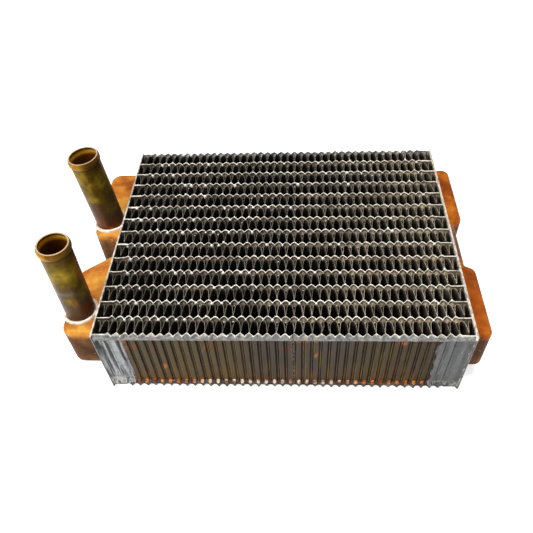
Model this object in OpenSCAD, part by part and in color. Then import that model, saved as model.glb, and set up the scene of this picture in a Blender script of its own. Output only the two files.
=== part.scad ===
// Radiator core of the soldered copper and brass kind, with cellular water tubes and two hose pipes.
// X runs along the core, pipes at -X. Y is across the rows of fins. Z is up, the way the pipes point.

/* [Core] */

// length of the core over its header plates
core_l = 197; // [150:1:260]
// width of the core across the rows
core_w = 153; // [110:1:200]
// thickness of the core from face to face
core_h = 50.8; // [44:0.2:70]
// rows of fins, one more than the water tubes between them
rows = 14; // [6:1:18]

/* [Wave] */

// pitch of the fins and of the waves in the tube edges
wave_pitch = 4.59; // [4:0.01:8]
// height of the wave in the soldered tube edges
wave_h = 2.1; // [1:0.1:3]
// straight stretch of a tube edge beside each header
lead_in = 6.5; // [5.5:0.1:14]

/* [Strips] */

// thickness of the soldered edge where two strips meet
lip_t = 0.6; // [0.4:0.05:1]
// depth of the soldered edge below each face
lip_h = 3.5; // [2:0.1:6]
// wall of a water tube
tube_wall = 0.4; // [0.2:0.05:0.6]
// room between the wave and the tube's flat sides
wave_room = 0.04; // [0.02:0.01:0.3]
// thickness of the fin strip
fin_t = 0.25; // [0.12:0.01:0.5]
// width of the crest of the fin's arched bend
fin_crest = 1.6; // [0.8:0.05:1.8]
// width of the arch at its knees
fin_knee = 3.3; // [2.4:0.05:3.8]
// depth of the knees below the crest
knee_drop = 2.2; // [1:0.1:3]
// how far the fins lie below the core's faces
fin_inset = 0.4; // [0:0.1:2]
// thickness of the two outer side strips
side_t = 0.5; // [0.3:0.05:0.8]
// depth of the grooves pressed into the side strips
groove_d = 0.7; // [0.3:0.05:0.9]
// width of the floor of such a groove
groove_w = 0.9; // [0.4:0.1:1.6]

/* [Headers] */

// thickness of a header plate
header_t = 0.8; // [0.6:0.1:2.5]

/* [Tanks] */

// height of the tanks, less than the core's
tank_h = 29.8; // [22:0.2:36]
// wall of the drawn tanks
tank_wall = 0.8; // [0.5:0.1:1.4]
// depth of the two pipe tanks, out from the header
pipe_tank_d = 22; // [19:0.5:34]
// depth of the return tank's two lobes
return_d = 12.3; // [9.5:0.1:22]
// depth of the shallow strip that joins the lobes
bridge_d = 6.9; // [4:0.1:8]
// radius of the tanks' upright corners
tank_r = 5.5; // [3:0.5:7]
// radius of the tanks' long edges
edge_r = 2.2; // [0.8:0.1:2.4]
// gap between the solder runs of the two pipe tanks
tank_gap = 1.8; // [0.8:0.1:16]
// how much shorter the front tank's slanted end leaves it at its outer side
tank_slant = 17.5; // [2:0.5:24]
// draft of the rear tank's end beside the gap
tank_draft = 3; // [0.5:0.5:6]
// half the width of the recess between the lobes
lobe_gap = 17; // [12:0.5:26]
// how far the recess lies towards the front
gap_shift = 1.2; // [0:0.1:4]
// slope of the lobes' inner ends
lobe_slant = 3; // [1:0.5:8]
// from the core's front and rear edges to the pipe tanks' ends
tank_inset = 9.2; // [7:0.1:14]
// from the core's front and rear edges to the return tank's ends
return_inset = 8.3; // [6:0.1:14]
// width of the soldering flange round a tank's mouth
flange_w = 2.6; // [1.5:0.1:4]
// thickness of the solder run along the flanges
solder_t = 1.3; // [0.9:0.1:2]
// width of that solder run
solder_w = 1.6; // [0.6:0.1:2.4]

/* [Pipes] */

// outside diameter of the front hose pipe
front_pipe_d = 16.2; // [12:0.1:17]
// outside diameter of the rear hose pipe
rear_pipe_d = 17.4; // [12:0.1:18]
// wall of the pipes
pipe_wall = 0.9; // [0.6:0.1:1.5]
// length of the front pipe above its tank
front_pipe_l = 53.8; // [35:0.1:80]
// length of the rear pipe above its tank
rear_pipe_l = 52; // [35:0.1:80]
// how far a pipe reaches into its tank
pipe_in = 3; // [1:0.5:8]
// from the header's outer face to the front pipe's axis
front_pipe_out = 13.5; // [11.2:0.1:13.6]
// from the header's outer face to the rear pipe's axis
rear_pipe_out = 12.2; // [11.2:0.1:13]
// from the front tank's front end to its pipe's axis
front_pipe_set = 15.3; // [13:0.1:26]
// from the rear tank's front end to its pipe's axis
rear_pipe_set = 14.5; // [13:0.1:26]
// lean of the front pipe towards the core, in degrees
front_lean = 1.5; // [-3:0.5:3]
// lean of the rear pipe away from the core, in degrees
rear_lean = 4; // [-3:0.5:5]
// how far the rolled bead stands out
bead_h = 0.7; // [0.4:0.1:2]
// width of the bead along the pipe
bead_w = 4.4; // [3:0.1:8]
// clearance of the pipe in its hole
pipe_gap = 0.1; // [0.05:0.05:0.3]
// reach and height of the solder ring at the pipe's foot
ring_w = 1.9; // [0.8:0.1:2.4]

/* [Solder coats] */

// length of the solder coat at the pipe end of a side strip
coat_left = 14; // [8:0.5:30]
// length of the solder coat at the return end of a side strip
coat_right = 24; // [8:0.5:40]
// thickness of the coat
coat_t = 0.3; // [0.2:0.05:0.6]

/* [Hidden] */

// derived sizes
tube_t = wave_h + lip_t / cos(atan(2 * wave_h / wave_pitch)) + 2 * wave_room;
row_pitch = (core_w - tube_t) / rows;
inner_x = core_l / 2 - header_t;
peaks = floor(2 * (inner_x - lead_in) / wave_pitch) + 1;
peak_0 = -(peaks - 1) / 2 * wave_pitch;
body_h = core_h - 2 * lip_h;
tank_z = (core_h - tank_h) / 2;
tank_top = tank_z + tank_h;
pipe_tank_l = (core_w - 2 * tank_inset - tank_gap) / 2 - flange_w - solder_w;
front_y = -core_w / 2 + tank_inset;
rear_y = core_w / 2 - tank_inset;
return_y = core_w / 2 - return_inset;
function pipe_d(front) = front ? front_pipe_d : rear_pipe_d;
function pipe_l(front) = front ? front_pipe_l : rear_pipe_l;
function pipe_x(front) = -core_l / 2 - (front ? front_pipe_out : rear_pipe_out);
function pipe_y(front) = front ? front_y + front_pipe_set : rear_y - pipe_tank_l + rear_pipe_set;
function pipe_lean(front) = front ? front_lean : -rear_lean;
slot_h = tank_h - 2 * tank_wall - 2;
slot_w = tube_t - 2 * tube_wall;
pipe_fn = 72;

// the part stands centred on its own box: a pipe's bead may be its end at -X
function bead_end(front) = -pipe_x(front) - (pipe_l(front) - bead_w / 2) * sin(pipe_lean(front))
    + (pipe_d(front) / 2 + bead_h) * cos(pipe_lean(front));
left_end = max(core_l / 2 + pipe_tank_d, bead_end(true), bead_end(false));
right_end = core_l / 2 + return_d;
shift_x = (left_end - right_end) / 2;

fin_names = [for (i = [1 : rows]) str("fin_", i)];
tube_names = [for (i = [1 : rows - 1]) str("water_tube_", i)];

brass = [0.72, 0.50, 0.22];
copper = [0.74, 0.42, 0.20];
bronze = [0.33, 0.27, 0.20];
solder = [0.74, 0.72, 0.68];

function seam_y(i) = -core_w / 2 + tube_t / 2 + i * row_pitch;
function peak_x(k) = peak_0 + k * wave_pitch;
function unit(v) = v / norm(v);

// one side of a sheet bent along the points p, at the distance s from its middle line
function sheet_side(p, s) = [for (i = [0 : len(p) - 1])
    let (here = unit(p[min(i + 1, len(p) - 1)] - p[min(i, len(p) - 2)]),
         before = i == 0 ? here : unit(p[i] - p[i - 1]),
         mitre = unit([-before.y - here.y, before.x + here.x]))
    p[i] + mitre * s / (mitre * [-before.y, before.x])];

// the sheet's outline between two such sides
function sheet(p, s1, s2) = let (back = sheet_side(p, s2))
    concat(sheet_side(p, s1), [for (i = [len(p) - 1 : -1 : 0]) back[i]]);

// an outline of [x, y, radius] corners with its corners rounded in short flats
function rounded(c, steps = 5) = [for (i = [0 : len(c) - 1])
    let (p = [c[i].x, c[i].y], r = c[i].z,
         a = c[(i + len(c) - 1) % len(c)], b = c[(i + 1) % len(c)],
         u = unit([a.x, a.y] - p), v = unit([b.x, b.y] - p),
         half = acos(u * v) / 2,
         centre = p + unit(u + v) * r / sin(half),
         t1 = p + u * r / tan(half), t2 = p + v * r / tan(half),
         a1 = atan2(t1.y - centre.y, t1.x - centre.x),
         turn = atan2(t2.y - centre.y, t2.x - centre.x) - a1,
         sweep = turn > 180 ? turn - 360 : turn < -180 ? turn + 360 : turn)
    each r == 0 ? [p] : [for (k = [0 : steps]) let (w = a1 + sweep * k / steps)
        centre + r * [cos(w), sin(w)]]];

// middle line of a soldered tube edge: straight beside the headers, waved between
function edge_line() = concat(
    [[-inner_x, 0], [peak_x(0) - wave_pitch / 2, 0]],
    [for (k = [0 : peaks - 1]) each k == peaks - 1 ? [[peak_x(k), wave_h / 2]]
        : [[peak_x(k), wave_h / 2], [peak_x(k) + wave_pitch / 2, -wave_h / 2]]],
    [[peak_x(peaks - 1) + wave_pitch / 2, 0], [inner_x, 0]]);

module soldered_edges() {
    for (z = [0, core_h - lip_h])
        translate([0, 0, z])
            linear_extrude(lip_h) polygon(sheet(edge_line(), lip_t / 2, -lip_t / 2));
}

// two strips soldered along both edges round a flat water way
module water_tube(i) {
    color(bronze)
        translate([0, seam_y(i), 0]) {
            soldered_edges();
            difference() {
                translate([-inner_x, -tube_t / 2, lip_h]) cube([2 * inner_x, tube_t, body_h]);
                translate([-inner_x - 1, -tube_t / 2 + tube_wall, lip_h + tube_wall])
                    cube([2 * inner_x + 2, tube_t - 2 * tube_wall, body_h - 2 * tube_wall]);
            }
        }
}

// one corrugated strip: arched bends against the tube behind it, sharp ones against the tube before it
module fin(i) {
    low = seam_y(i - 1) + tube_t / 2;
    high = seam_y(i) - tube_t / 2 - fin_t / 2;
    rise = high - low - fin_t / 2 - knee_drop;
    // a sharp bend reaches further than half the strip's thickness, by the slope of its two walls
    run = (wave_pitch - fin_knee) / 2;
    tip = fin_t / 2 * sqrt(1 + pow(rise / run, 2));
    line = concat([[peak_x(-1) - wave_pitch / 2, high]],
        [for (k = [-1 : peaks]) let (a = peak_x(k) - wave_pitch / 2, b = peak_x(k) + wave_pitch / 2)
            each [[a + fin_crest / 2, high], [a + fin_knee / 2, high - knee_drop], [peak_x(k), low + tip],
                [b - fin_knee / 2, high - knee_drop], [b - fin_crest / 2, high]]],
        [[peak_x(peaks) + wave_pitch / 2, high]]);
    color(bronze)
        translate([0, 0, fin_inset])
            linear_extrude(core_h - 2 * fin_inset) polygon(sheet(line, fin_t / 2, -fin_t / 2));
}

// middle line of a side strip's panel, seen from outside: flats with a groove at every wave
function panel_line(phase) = concat([[-inner_x, -groove_d]],
    [for (k = [0 : peaks - 1 - 2 * phase]) let (x = peak_x(k) + phase * wave_pitch)
        each [[x - groove_w / 2 - groove_d / 2, -groove_d], [x - groove_w / 2, 0],
              [x + groove_w / 2, 0], [x + groove_w / 2 + groove_d / 2, -groove_d]]],
    [[inner_x, -groove_d]]);

// the panel's own middle line lies inside the core, flush with the flats that the fins bear on
module panel_place(front) {
    if (front) translate([0, seam_y(0) + tube_t / 2 - side_t / 2, 0]) children();
    else translate([0, seam_y(rows) - tube_t / 2 + side_t / 2, 0]) mirror([0, 1, 0]) children();
}

module side_strip(front) {
    color(bronze) {
        translate([0, seam_y(front ? 0 : rows), 0]) {
            soldered_edges();
            for (z = [lip_h, core_h - lip_h - side_t])
                translate([-inner_x, -tube_t / 2, z]) cube([2 * inner_x, tube_t, side_t]);
        }
        panel_place(front)
            translate([0, 0, lip_h + side_t])
                linear_extrude(body_h - 2 * side_t)
                    polygon(sheet(panel_line(front ? 0 : 0.5), side_t / 2, -side_t / 2));
    }
}

// solder wiped over the outside of a side strip beside a header
module solder_coat(front, left) {
    coat_l = left ? coat_left : coat_right;
    x0 = left ? -inner_x : inner_x - coat_l;
    color(solder)
        panel_place(front)
            translate([0, 0, lip_h + side_t])
                intersection() {
                    linear_extrude(body_h - 2 * side_t)
                        polygon(sheet(panel_line(front ? 0 : 0.5), -side_t / 2, -side_t / 2 - coat_t));
                    translate([x0, -2 * tube_t, -1]) cube([coat_l, 4 * tube_t, core_h]);
                }
}

// a slot is cut only where a tank covers it
function in_tank(y, y0, y1) =
    y - slot_w / 2 > y0 + tank_wall && y + slot_w / 2 < y1 - tank_wall;

module header(left) {
    color(solder)
        difference() {
            translate([left ? -core_l / 2 : inner_x, -core_w / 2, 0])
                cube([header_t, core_w, core_h]);
            for (i = [1 : rows - 1])
                if (left ? in_tank(seam_y(i), front_y, front_y + pipe_tank_l)
                        || in_tank(seam_y(i), rear_y - pipe_tank_l, rear_y)
                    : in_tank(seam_y(i), -return_y, return_y))
                    translate([(left ? -1 : 1) * core_l / 2 - 2 * header_t,
                        seam_y(i) - slot_w / 2, (core_h - slot_h) / 2])
                        cube([4 * header_t, slot_w, slot_h]);
        }
}

// the tanks are drawn with x outwards from the header's face, so w shrinks them by a wall
function front_outline(w) =
    let (slope = tank_slant / pipe_tank_d, away = w * sqrt(1 + slope * slope),
         back = front_y + pipe_tank_l - away)
    [[-w, front_y + w, 0], [pipe_tank_d - w, front_y + w, tank_r - w],
     [pipe_tank_d - w, back - slope * (pipe_tank_d - w), tank_r - w], [-w, back + slope * w, 0]];

function rear_outline(w) =
    let (slope = tank_draft / pipe_tank_d, away = w * sqrt(1 + slope * slope),
         start = rear_y - pipe_tank_l + away)
    [[-w, start - slope * w, 0], [pipe_tank_d - w, start + slope * (pipe_tank_d - w), tank_r - w],
     [pipe_tank_d - w, rear_y - w, tank_r - w], [-w, rear_y - w, 0]];

function return_outline(w) =
    let (slope = lobe_slant / (return_d - bridge_d), away = w * sqrt(1 + slope * slope),
         foot = lobe_gap + away - slope * w, top = foot + slope * (return_d - bridge_d),
         r = min(tank_r - w, return_d / 3), s = gap_shift)
    [[-w, w - return_y, 0], [return_d - w, w - return_y, r], [return_d - w, -top - s, r],
     [bridge_d - w, -foot - s, 0], [bridge_d - w, foot - s, 0],
     [return_d - w, top - s, r], [return_d - w, return_y - w, r], [-w, return_y - w, 0]];

// a drawn shape: its outline from above, cut by the rounded outlines from the end and the side
module drawn(outline, depth, y0, y1, w) {
    h = tank_h - 2 * w;
    r = edge_r - min(w, edge_r - 0.3);
    translate([0, 0, tank_z + w])
        intersection() {
            linear_extrude(h) polygon(rounded(outline));
            rotate([90, 0, 0])
                linear_extrude(4 * core_w, center = true)
                    polygon(rounded([[-2 * w - 1, 0, 0], [depth - w, 0, r],
                        [depth - w, h, r], [-2 * w - 1, h, 0]], 3));
            rotate([90, 0, 90])
                linear_extrude(4 * depth, center = true)
                    polygon(rounded([[y0 + w, 0, r], [y1 - w, 0, r],
                        [y1 - w, h, r], [y0 + w, h, r]], 3));
        }
}

// the flange lies flat on the header round the mouth, y0 to y1
module flange(y0, y1, outer, t) {
    translate([0, y0 - outer, tank_z - outer])
        cube([t, y1 - y0 + 2 * outer, tank_h + 2 * outer]);
}

module pipe_tank(front) {
    y0 = front ? front_y : rear_y - pipe_tank_l;
    y1 = y0 + pipe_tank_l;
    color(copper)
        difference() {
            translate([-core_l / 2, 0, 0]) mirror([1, 0, 0])
                difference() {
                    union() {
                        drawn(front ? front_outline(0) : rear_outline(0), pipe_tank_d, y0, y1, 0);
                        flange(y0, y1, flange_w, tank_wall);
                    }
                    drawn(front ? front_outline(tank_wall) : rear_outline(tank_wall),
                        pipe_tank_d, y0, y1, tank_wall);
                }
            pipe_place(front)
                translate([0, 0, -2 * pipe_in])
                    cylinder(h = 4 * pipe_in, d = pipe_d(front) + 2 * pipe_gap, $fn = pipe_fn);
        }
}

module return_tank() {
    color(copper)
        translate([core_l / 2, 0, 0])
            difference() {
                union() {
                    drawn(return_outline(0), return_d, -return_y, return_y, 0);
                    flange(-return_y, return_y, flange_w, tank_wall);
                }
                drawn(return_outline(tank_wall), return_d, -return_y, return_y, tank_wall);
            }
}

// the solder run is a frame on the header round the flange
module tank_solder(y0, y1, left) {
    color(solder)
        translate([(left ? -1 : 1) * core_l / 2, 0, 0]) mirror([left ? 1 : 0, 0, 0])
            difference() {
                flange(y0, y1, flange_w + solder_w, solder_t);
                translate([-1, 0, 0]) flange(y0, y1, flange_w, solder_t + 2);
            }
}

// stands children on the tank's top at the foot of a pipe, leaning as the pipe does
module pipe_place(front) {
    translate([pipe_x(front), pipe_y(front), tank_top]) rotate([0, pipe_lean(front), 0]) children();
}

// outline of a pipe's wall at the radius r: straight, then bulged out over the bead below its end l
function pipe_side(r, l) = concat([[r, -pipe_in], [r, l - bead_w]],
    [for (k = [1 : 9]) let (a = 180 * k / 10) [r + bead_h * sin(a), l - bead_w * (0.5 + 0.5 * cos(a))]],
    [[r, l]]);

module pipe(front) {
    outer = pipe_side(pipe_d(front) / 2, pipe_l(front));
    inner = pipe_side(pipe_d(front) / 2 - pipe_wall, pipe_l(front));
    color(brass)
        pipe_place(front)
            rotate_extrude($fn = pipe_fn)
                polygon(concat(outer, [for (i = [len(inner) - 1 : -1 : 0]) inner[i]]));
}

// a ring of solder on the tank's top round the pipe's foot, ending at the tank's outer side
module pipe_solder(front) {
    d = pipe_d(front);
    r = d / 2 + pipe_gap;
    color(solder)
        difference() {
            intersection() {
                translate([pipe_x(front), pipe_y(front), tank_top])
                    cylinder(h = ring_w, r1 = r + ring_w, r2 = r + 0.3, $fn = pipe_fn);
                translate([-core_l / 2 - pipe_tank_d + edge_r, pipe_y(front) - 2 * d, tank_top - 1])
                    cube([pipe_tank_d - edge_r, 4 * d, ring_w + 2]);
            }
            pipe_place(front)
                translate([0, 0, -d]) cylinder(h = 2 * d, r = r, $fn = pipe_fn);
        }
}

translate([shift_x, 0, 0]) {
    header(true);  // left_header
    header(false);  // right_header
    side_strip(true);  // front_side_strip
    side_strip(false);  // rear_side_strip
    pipe_tank(true);  // front_tank
    pipe_tank(false);  // rear_tank
    return_tank();
    pipe(true);  // front_pipe
    pipe(false);  // rear_pipe
    pipe_solder(true);  // front_pipe_solder
    pipe_solder(false);  // rear_pipe_solder
    tank_solder(front_y, front_y + pipe_tank_l, true);  // front_tank_solder
    tank_solder(rear_y - pipe_tank_l, rear_y, true);  // rear_tank_solder
    tank_solder(-return_y, return_y, false);  // return_tank_solder
    solder_coat(true, true);  // front_left_coat
    solder_coat(true, false);  // front_right_coat
    solder_coat(false, true);  // rear_left_coat
    solder_coat(false, false);  // rear_right_coat
    for (i = [1 : rows - 1])
        water_tube(i);
    for (i = [1 : rows])
        fin(i);
}
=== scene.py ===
# Soldered radiator core: waved tube seams, corrugated fins, drawn copper tanks and two beaded brass pipes.
# Shapes are worked out in millimetres and put into the meshes in metres.
import bpy
import bmesh
import numpy as np
from mathutils import Matrix, Vector


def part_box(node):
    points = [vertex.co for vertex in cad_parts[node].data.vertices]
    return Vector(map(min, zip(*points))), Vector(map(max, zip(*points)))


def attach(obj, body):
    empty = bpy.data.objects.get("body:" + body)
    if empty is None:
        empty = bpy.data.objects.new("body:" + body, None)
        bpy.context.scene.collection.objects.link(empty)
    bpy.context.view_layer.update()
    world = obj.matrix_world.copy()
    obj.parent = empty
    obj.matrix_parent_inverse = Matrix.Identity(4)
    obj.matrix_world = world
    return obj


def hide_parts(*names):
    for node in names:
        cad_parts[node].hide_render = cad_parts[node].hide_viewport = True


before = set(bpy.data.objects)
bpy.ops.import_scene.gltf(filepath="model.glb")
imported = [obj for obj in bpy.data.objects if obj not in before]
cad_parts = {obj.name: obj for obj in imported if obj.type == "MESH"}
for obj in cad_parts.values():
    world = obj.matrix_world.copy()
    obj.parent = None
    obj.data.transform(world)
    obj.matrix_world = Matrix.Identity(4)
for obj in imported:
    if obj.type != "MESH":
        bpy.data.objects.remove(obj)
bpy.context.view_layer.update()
mm = 0.001


# ---- camera and light

shot = {"focal": 560.60, "elevation": 0.846033, "azimuth": 0.0829987, "roll": -0.0655745,
        "distance": 382.61, "aim": (-6.093, 15.906, 0.0), "pixels": 533.0}


def placeCamera():  # looks at the aim point from the given bearing, turned by the roll about its own axis
    data = bpy.data.cameras.new("photoCamera")
    camera = bpy.data.objects.new("photoCamera", data)
    bpy.context.scene.collection.objects.link(camera)
    data.sensor_width = 36.0
    data.lens = shot["focal"] / shot["pixels"] * 36.0
    data.clip_start, data.clip_end = 0.01, 20.0
    el, az, roll = shot["elevation"], shot["azimuth"], shot["roll"]
    back = Vector((np.sin(az) * np.cos(el), -np.cos(az) * np.cos(el), np.sin(el)))
    side = Vector((np.cos(az), np.sin(az), 0.0))
    up = back.cross(side)
    right = side * np.cos(roll) + up * np.sin(roll)
    top = up * np.cos(roll) - side * np.sin(roll)
    turn = Matrix((right, top, back)).transposed().to_4x4()
    place = (Vector(shot["aim"]) + back * shot["distance"]) * mm
    camera.matrix_world = Matrix.Translation(place) @ turn
    bpy.context.scene.camera = camera


studio = {"sky": 0.22, "key": 9.5, "top": 18.0, "topPlace": (0.0, 0.0, 1.4), "keySize": 0.6, "keyPlace": (-0.6, -0.4, 0.8),
          "fill": 0.3, "fillPlace": (0.5, -0.9, 0.5), "floor": 0.72, "floorGlow": 0.72}


def areaLight(name, place, power, size):
    data = bpy.data.lights.new(name, "AREA")
    data.energy, data.size = power, size
    lamp = bpy.data.objects.new(name, data)
    bpy.context.scene.collection.objects.link(lamp)
    lamp.location = place
    lamp.rotation_mode = "QUATERNION"
    lamp.rotation_quaternion = (Vector(place) - Vector((0, 0, 0.02))).to_track_quat("Z", "Y")


# ---- small tools

def ripple(x, seed, size):  # a smooth random curve: one random height each size mm, joined by eased steps
    steps = np.random.default_rng(seed).uniform(-1, 1, 1024)
    t = x / size + 300.0
    i = np.floor(t).astype(int)
    f = t - i
    f = f * f * (3 - 2 * f)
    return steps[i % 1024] * (1 - f) + steps[(i + 1) % 1024] * f


def patches(x, y, seed, size):  # the same on a plane: four random corners blended by eased steps
    grid = np.random.default_rng(seed).uniform(-1, 1, (128, 128))
    tx, ty = x / size + 300.0, y / size + 300.0
    i, j = np.floor(tx).astype(int), np.floor(ty).astype(int)
    f, g = tx - i, ty - j
    f, g = f * f * (3 - 2 * f), g * g * (3 - 2 * g)
    i, j, k, m = i % 128, j % 128, (i + 1) % 128, (j + 1) % 128
    low = grid[i, j] * (1 - f) + grid[k, j] * f
    high = grid[i, m] * (1 - f) + grid[k, m] * f
    return low * (1 - g) + high * g


def ease(t):
    t = np.clip(t, 0, 1)
    return t * t * (3 - 2 * t)


def quadsOf(rows, cols, closeRows=False, closeCols=False):  # corner numbers of a grid's faces
    r = np.arange(rows if closeRows else rows - 1)
    c = np.arange(cols if closeCols else cols - 1)
    a, b = np.meshgrid(r, c, indexing="ij")
    a2, b2 = (a + 1) % rows, (b + 1) % cols
    return np.stack([a * cols + b, a2 * cols + b, a2 * cols + b2, a * cols + b2], -1).reshape(-1, 4)


def makePiece(name, points, quads, materials, replaced=(), marks=None, faceKind=None,
              angle=35.0, turn=True):
    # points in mm; marks are named numbers for each point that the materials read
    mesh = bpy.data.meshes.new(name)
    points = np.asarray(points, float).reshape(-1, 3)
    mesh.vertices.add(len(points))
    mesh.vertices.foreach_set("co", (points * mm).ravel())
    mesh.loops.add(quads.size)
    mesh.loops.foreach_set("vertex_index", quads.ravel().astype(np.int32))
    mesh.polygons.add(len(quads))
    mesh.polygons.foreach_set("loop_start", np.arange(0, quads.size, 4, dtype=np.int32))
    if faceKind is not None:
        mesh.polygons.foreach_set("material_index", np.asarray(faceKind, np.int32).ravel())
    mesh.update(calc_edges=True)
    for key, numbers in (marks or {}).items():
        layer = mesh.attributes.new(key, "FLOAT", "POINT")
        layer.data.foreach_set("value", np.asarray(numbers, np.float32).ravel())
    for m in materials:
        mesh.materials.append(m)
    work = bmesh.new()
    work.from_mesh(mesh)
    bmesh.ops.remove_doubles(work, verts=work.verts, dist=2e-6)
    if turn:
        bmesh.ops.recalc_face_normals(work, faces=work.faces)
    work.to_mesh(mesh)
    work.free()
    mesh.shade_smooth()
    mesh.set_sharp_from_angle(angle=np.radians(angle))
    piece = bpy.data.objects.new(name, mesh)
    bpy.context.scene.collection.objects.link(piece)
    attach(piece, "root")
    if replaced:
        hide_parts(*replaced)
    return piece


# ---- material tools

def put(tree, kind, inputs=None, **settings):  # adds a node; inputs are sockets or values by name or number
    made = tree.nodes.new("ShaderNode" + kind)
    for key, value in settings.items():
        setattr(made, key, value)
    for key, value in (inputs or {}).items():
        if isinstance(value, bpy.types.NodeSocket):
            tree.links.new(value, made.inputs[key])
        else:
            made.inputs[key].default_value = value
    return made


def startMaterial(name, metallic, specular=0.5):
    made = bpy.data.materials.new(name)
    made.use_nodes = True
    tree = made.node_tree
    shader = tree.nodes["Principled BSDF"]
    shader.inputs["Metallic"].default_value = metallic
    shader.inputs["Specular IOR Level"].default_value = specular
    place = put(tree, "TexCoord").outputs["Object"]
    return made, tree, shader, place


def stretched(tree, place, scale):
    return put(tree, "Mapping", {"Vector": place, "Scale": scale}).outputs[0]


def noise(tree, vector, scale, detail=4.0, rough=0.55):
    return put(tree, "TexNoise", {"Vector": vector, "Scale": scale, "Detail": detail, "Roughness": rough}).outputs[0]


def ramp(tree, fac, stops):  # stops are (position, colour)
    made = put(tree, "ValToRGB", {"Fac": fac})
    bar = made.color_ramp
    while len(bar.elements) < len(stops):
        bar.elements.new(0.5)
    for element, (position, colour) in zip(bar.elements, stops):
        element.position = position
        element.color = (*colour, 1.0)
    return made.outputs[0]


def level(tree, value, low, high, outLow=0.0, outHigh=1.0):
    return put(tree, "MapRange", {0: value, 1: low, 2: high, 3: outLow, 4: outHigh}).outputs[0]


def blendColour(tree, fac, a, b):
    made = tree.nodes.new("ShaderNodeMix")
    made.data_type = "RGBA"
    for number, value in ((0, fac), (6, a), (7, b)):
        if isinstance(value, bpy.types.NodeSocket):
            tree.links.new(value, made.inputs[number])
        else:
            made.inputs[number].default_value = value if number == 0 else (*value, 1.0)
    return made.outputs[2]


def times(tree, a, b):
    return put(tree, "Math", {0: a, 1: b}, operation="MULTIPLY").outputs[0]


def mark(tree, name):
    return put(tree, "Attribute", attribute_name=name).outputs["Fac"]


def dress(tree, shader, colour, rough, height=None, strength=0.4, distance=0.0003):
    tree.links.new(colour, shader.inputs["Base Color"])
    tree.links.new(rough, shader.inputs["Roughness"])
    if height is not None:
        bump = put(tree, "Bump", {"Height": height, "Strength": strength, "Distance": distance})
        tree.links.new(bump.outputs[0], shader.inputs["Normal"])


# ---- finishes

finish = {
    "cream": (0.97, 0.92, 0.8), "solderLight": (0.86, 0.8, 0.68), "solderGrey": (0.55, 0.51, 0.43),
    "stripTan": (0.31, 0.235, 0.145), "stripBrown": (0.085, 0.062, 0.042), "stripBlack": (0.016, 0.013, 0.01),
}


coreMiddle = (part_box("left_header")[0][2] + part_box("left_header")[1][2]) / 2 / mm


def stainAndLightShare(tree, place):  # painted light and stain: the strips are painted dark at the pipes' end, where their faces stand in shade, and turn lighter tan towards the far front corner, where the light falls on them
    x, y, _ = put(tree, "SeparateXYZ", {0: place}).outputs
    cloud = noise(tree, place, 38.0, 2.0)
    share = put(tree, "Math", {0: level(tree, x, -0.01, 0.12), 1: level(tree, y, 0.07, -0.08, -0.16, 0.28)},
                operation="ADD").outputs[0]
    return put(tree, "Math", {0: share, 1: level(tree, cloud, 0.3, 0.7, -0.25, 0.25)}, operation="ADD",
               use_clamp=True).outputs[0]


def seamMaterial():  # cream solder on the lips, running out over strip painted dark at the pipes' end and tan towards the far front corner, with painted highlights in the scoops
    made, tree, shader, place = startMaterial("seamStrip", 0.2, 0.15)
    wet = mark(tree, "solder")
    grain = noise(tree, place, 900.0, 5.0)
    cloud = noise(tree, place, 170.0, 3.0)
    slow = noise(tree, stretched(tree, place, (1.0, 0.6, 0.2)), 120.0, 2.0)
    solder = ramp(tree, grain, [(0.3, finish["solderGrey"]), (0.48, finish["solderLight"]), (0.72, finish["cream"])])
    solder = blendColour(tree, level(tree, slow, 0.48, 0.38, 0.0, 0.6), solder, (0.24, 0.21, 0.17))
    sootAndShadeStrip = ramp(tree, cloud, [(0.35, finish["stripBlack"]), (0.7, finish["stripBrown"])])
    tan = ramp(tree, cloud, [(0.3, finish["stripBrown"]), (0.52, (0.12, 0.092, 0.06)), (0.72, finish["stripTan"])])
    # painted shade and light: dark strip at the pipes' end, lighter tan towards the far front corner
    share = stainAndLightShare(tree, place)
    strip = blendColour(tree, share, sootAndShadeStrip, tan)
    # painted highlight: the scoops below the arches are lightened, more towards the far front corner where the light
    # falls
    scoopHighlight = put(tree, "Math", {0: mark(tree, "scoop"), 1: level(tree, share, 0.0, 1.0, 0.04, 1.0)}, operation="MULTIPLY").outputs[0]
    scoopHighlight = times(tree, scoopHighlight, level(tree, grain, 0.35, 0.6, 0.4, 1.0))
    strip = blendColour(tree, scoopHighlight, strip, blendColour(tree, share, (0.34, 0.32, 0.28), (0.52, 0.41, 0.265)))
    edge = put(tree, "Math", {0: wet, 1: level(tree, grain, 0.3, 0.7, -0.25, 0.25)}, operation="ADD").outputs[0]
    colour = blendColour(tree, level(tree, edge, 0.42, 0.62), strip, solder)
    dress(tree, shader, colour, level(tree, grain, 0.3, 0.7, 0.24, 0.42), grain, 0.5, 0.0002)
    return made


def seamLine(tree, place, along, colour):  # the strip's own joint, a little right of the middle, specked with solder
    specks = noise(tree, stretched(tree, place, (1.0, 1.0, 0.6)), 1100.0, 3.0)
    off = put(tree, "Math", {0: along, 1: 0.0125}, operation="SUBTRACT").outputs[0]
    off = put(tree, "Math", {0: off}, operation="ABSOLUTE").outputs[0]
    look = ramp(tree, specks, [(0.4, (0.008, 0.007, 0.006)), (0.5, (0.06, 0.05, 0.04)), (0.62, (0.3, 0.27, 0.23))])
    return blendColour(tree, level(tree, off, 0.00065, 0.00035, 0.0, 0.85), colour, look)


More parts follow.
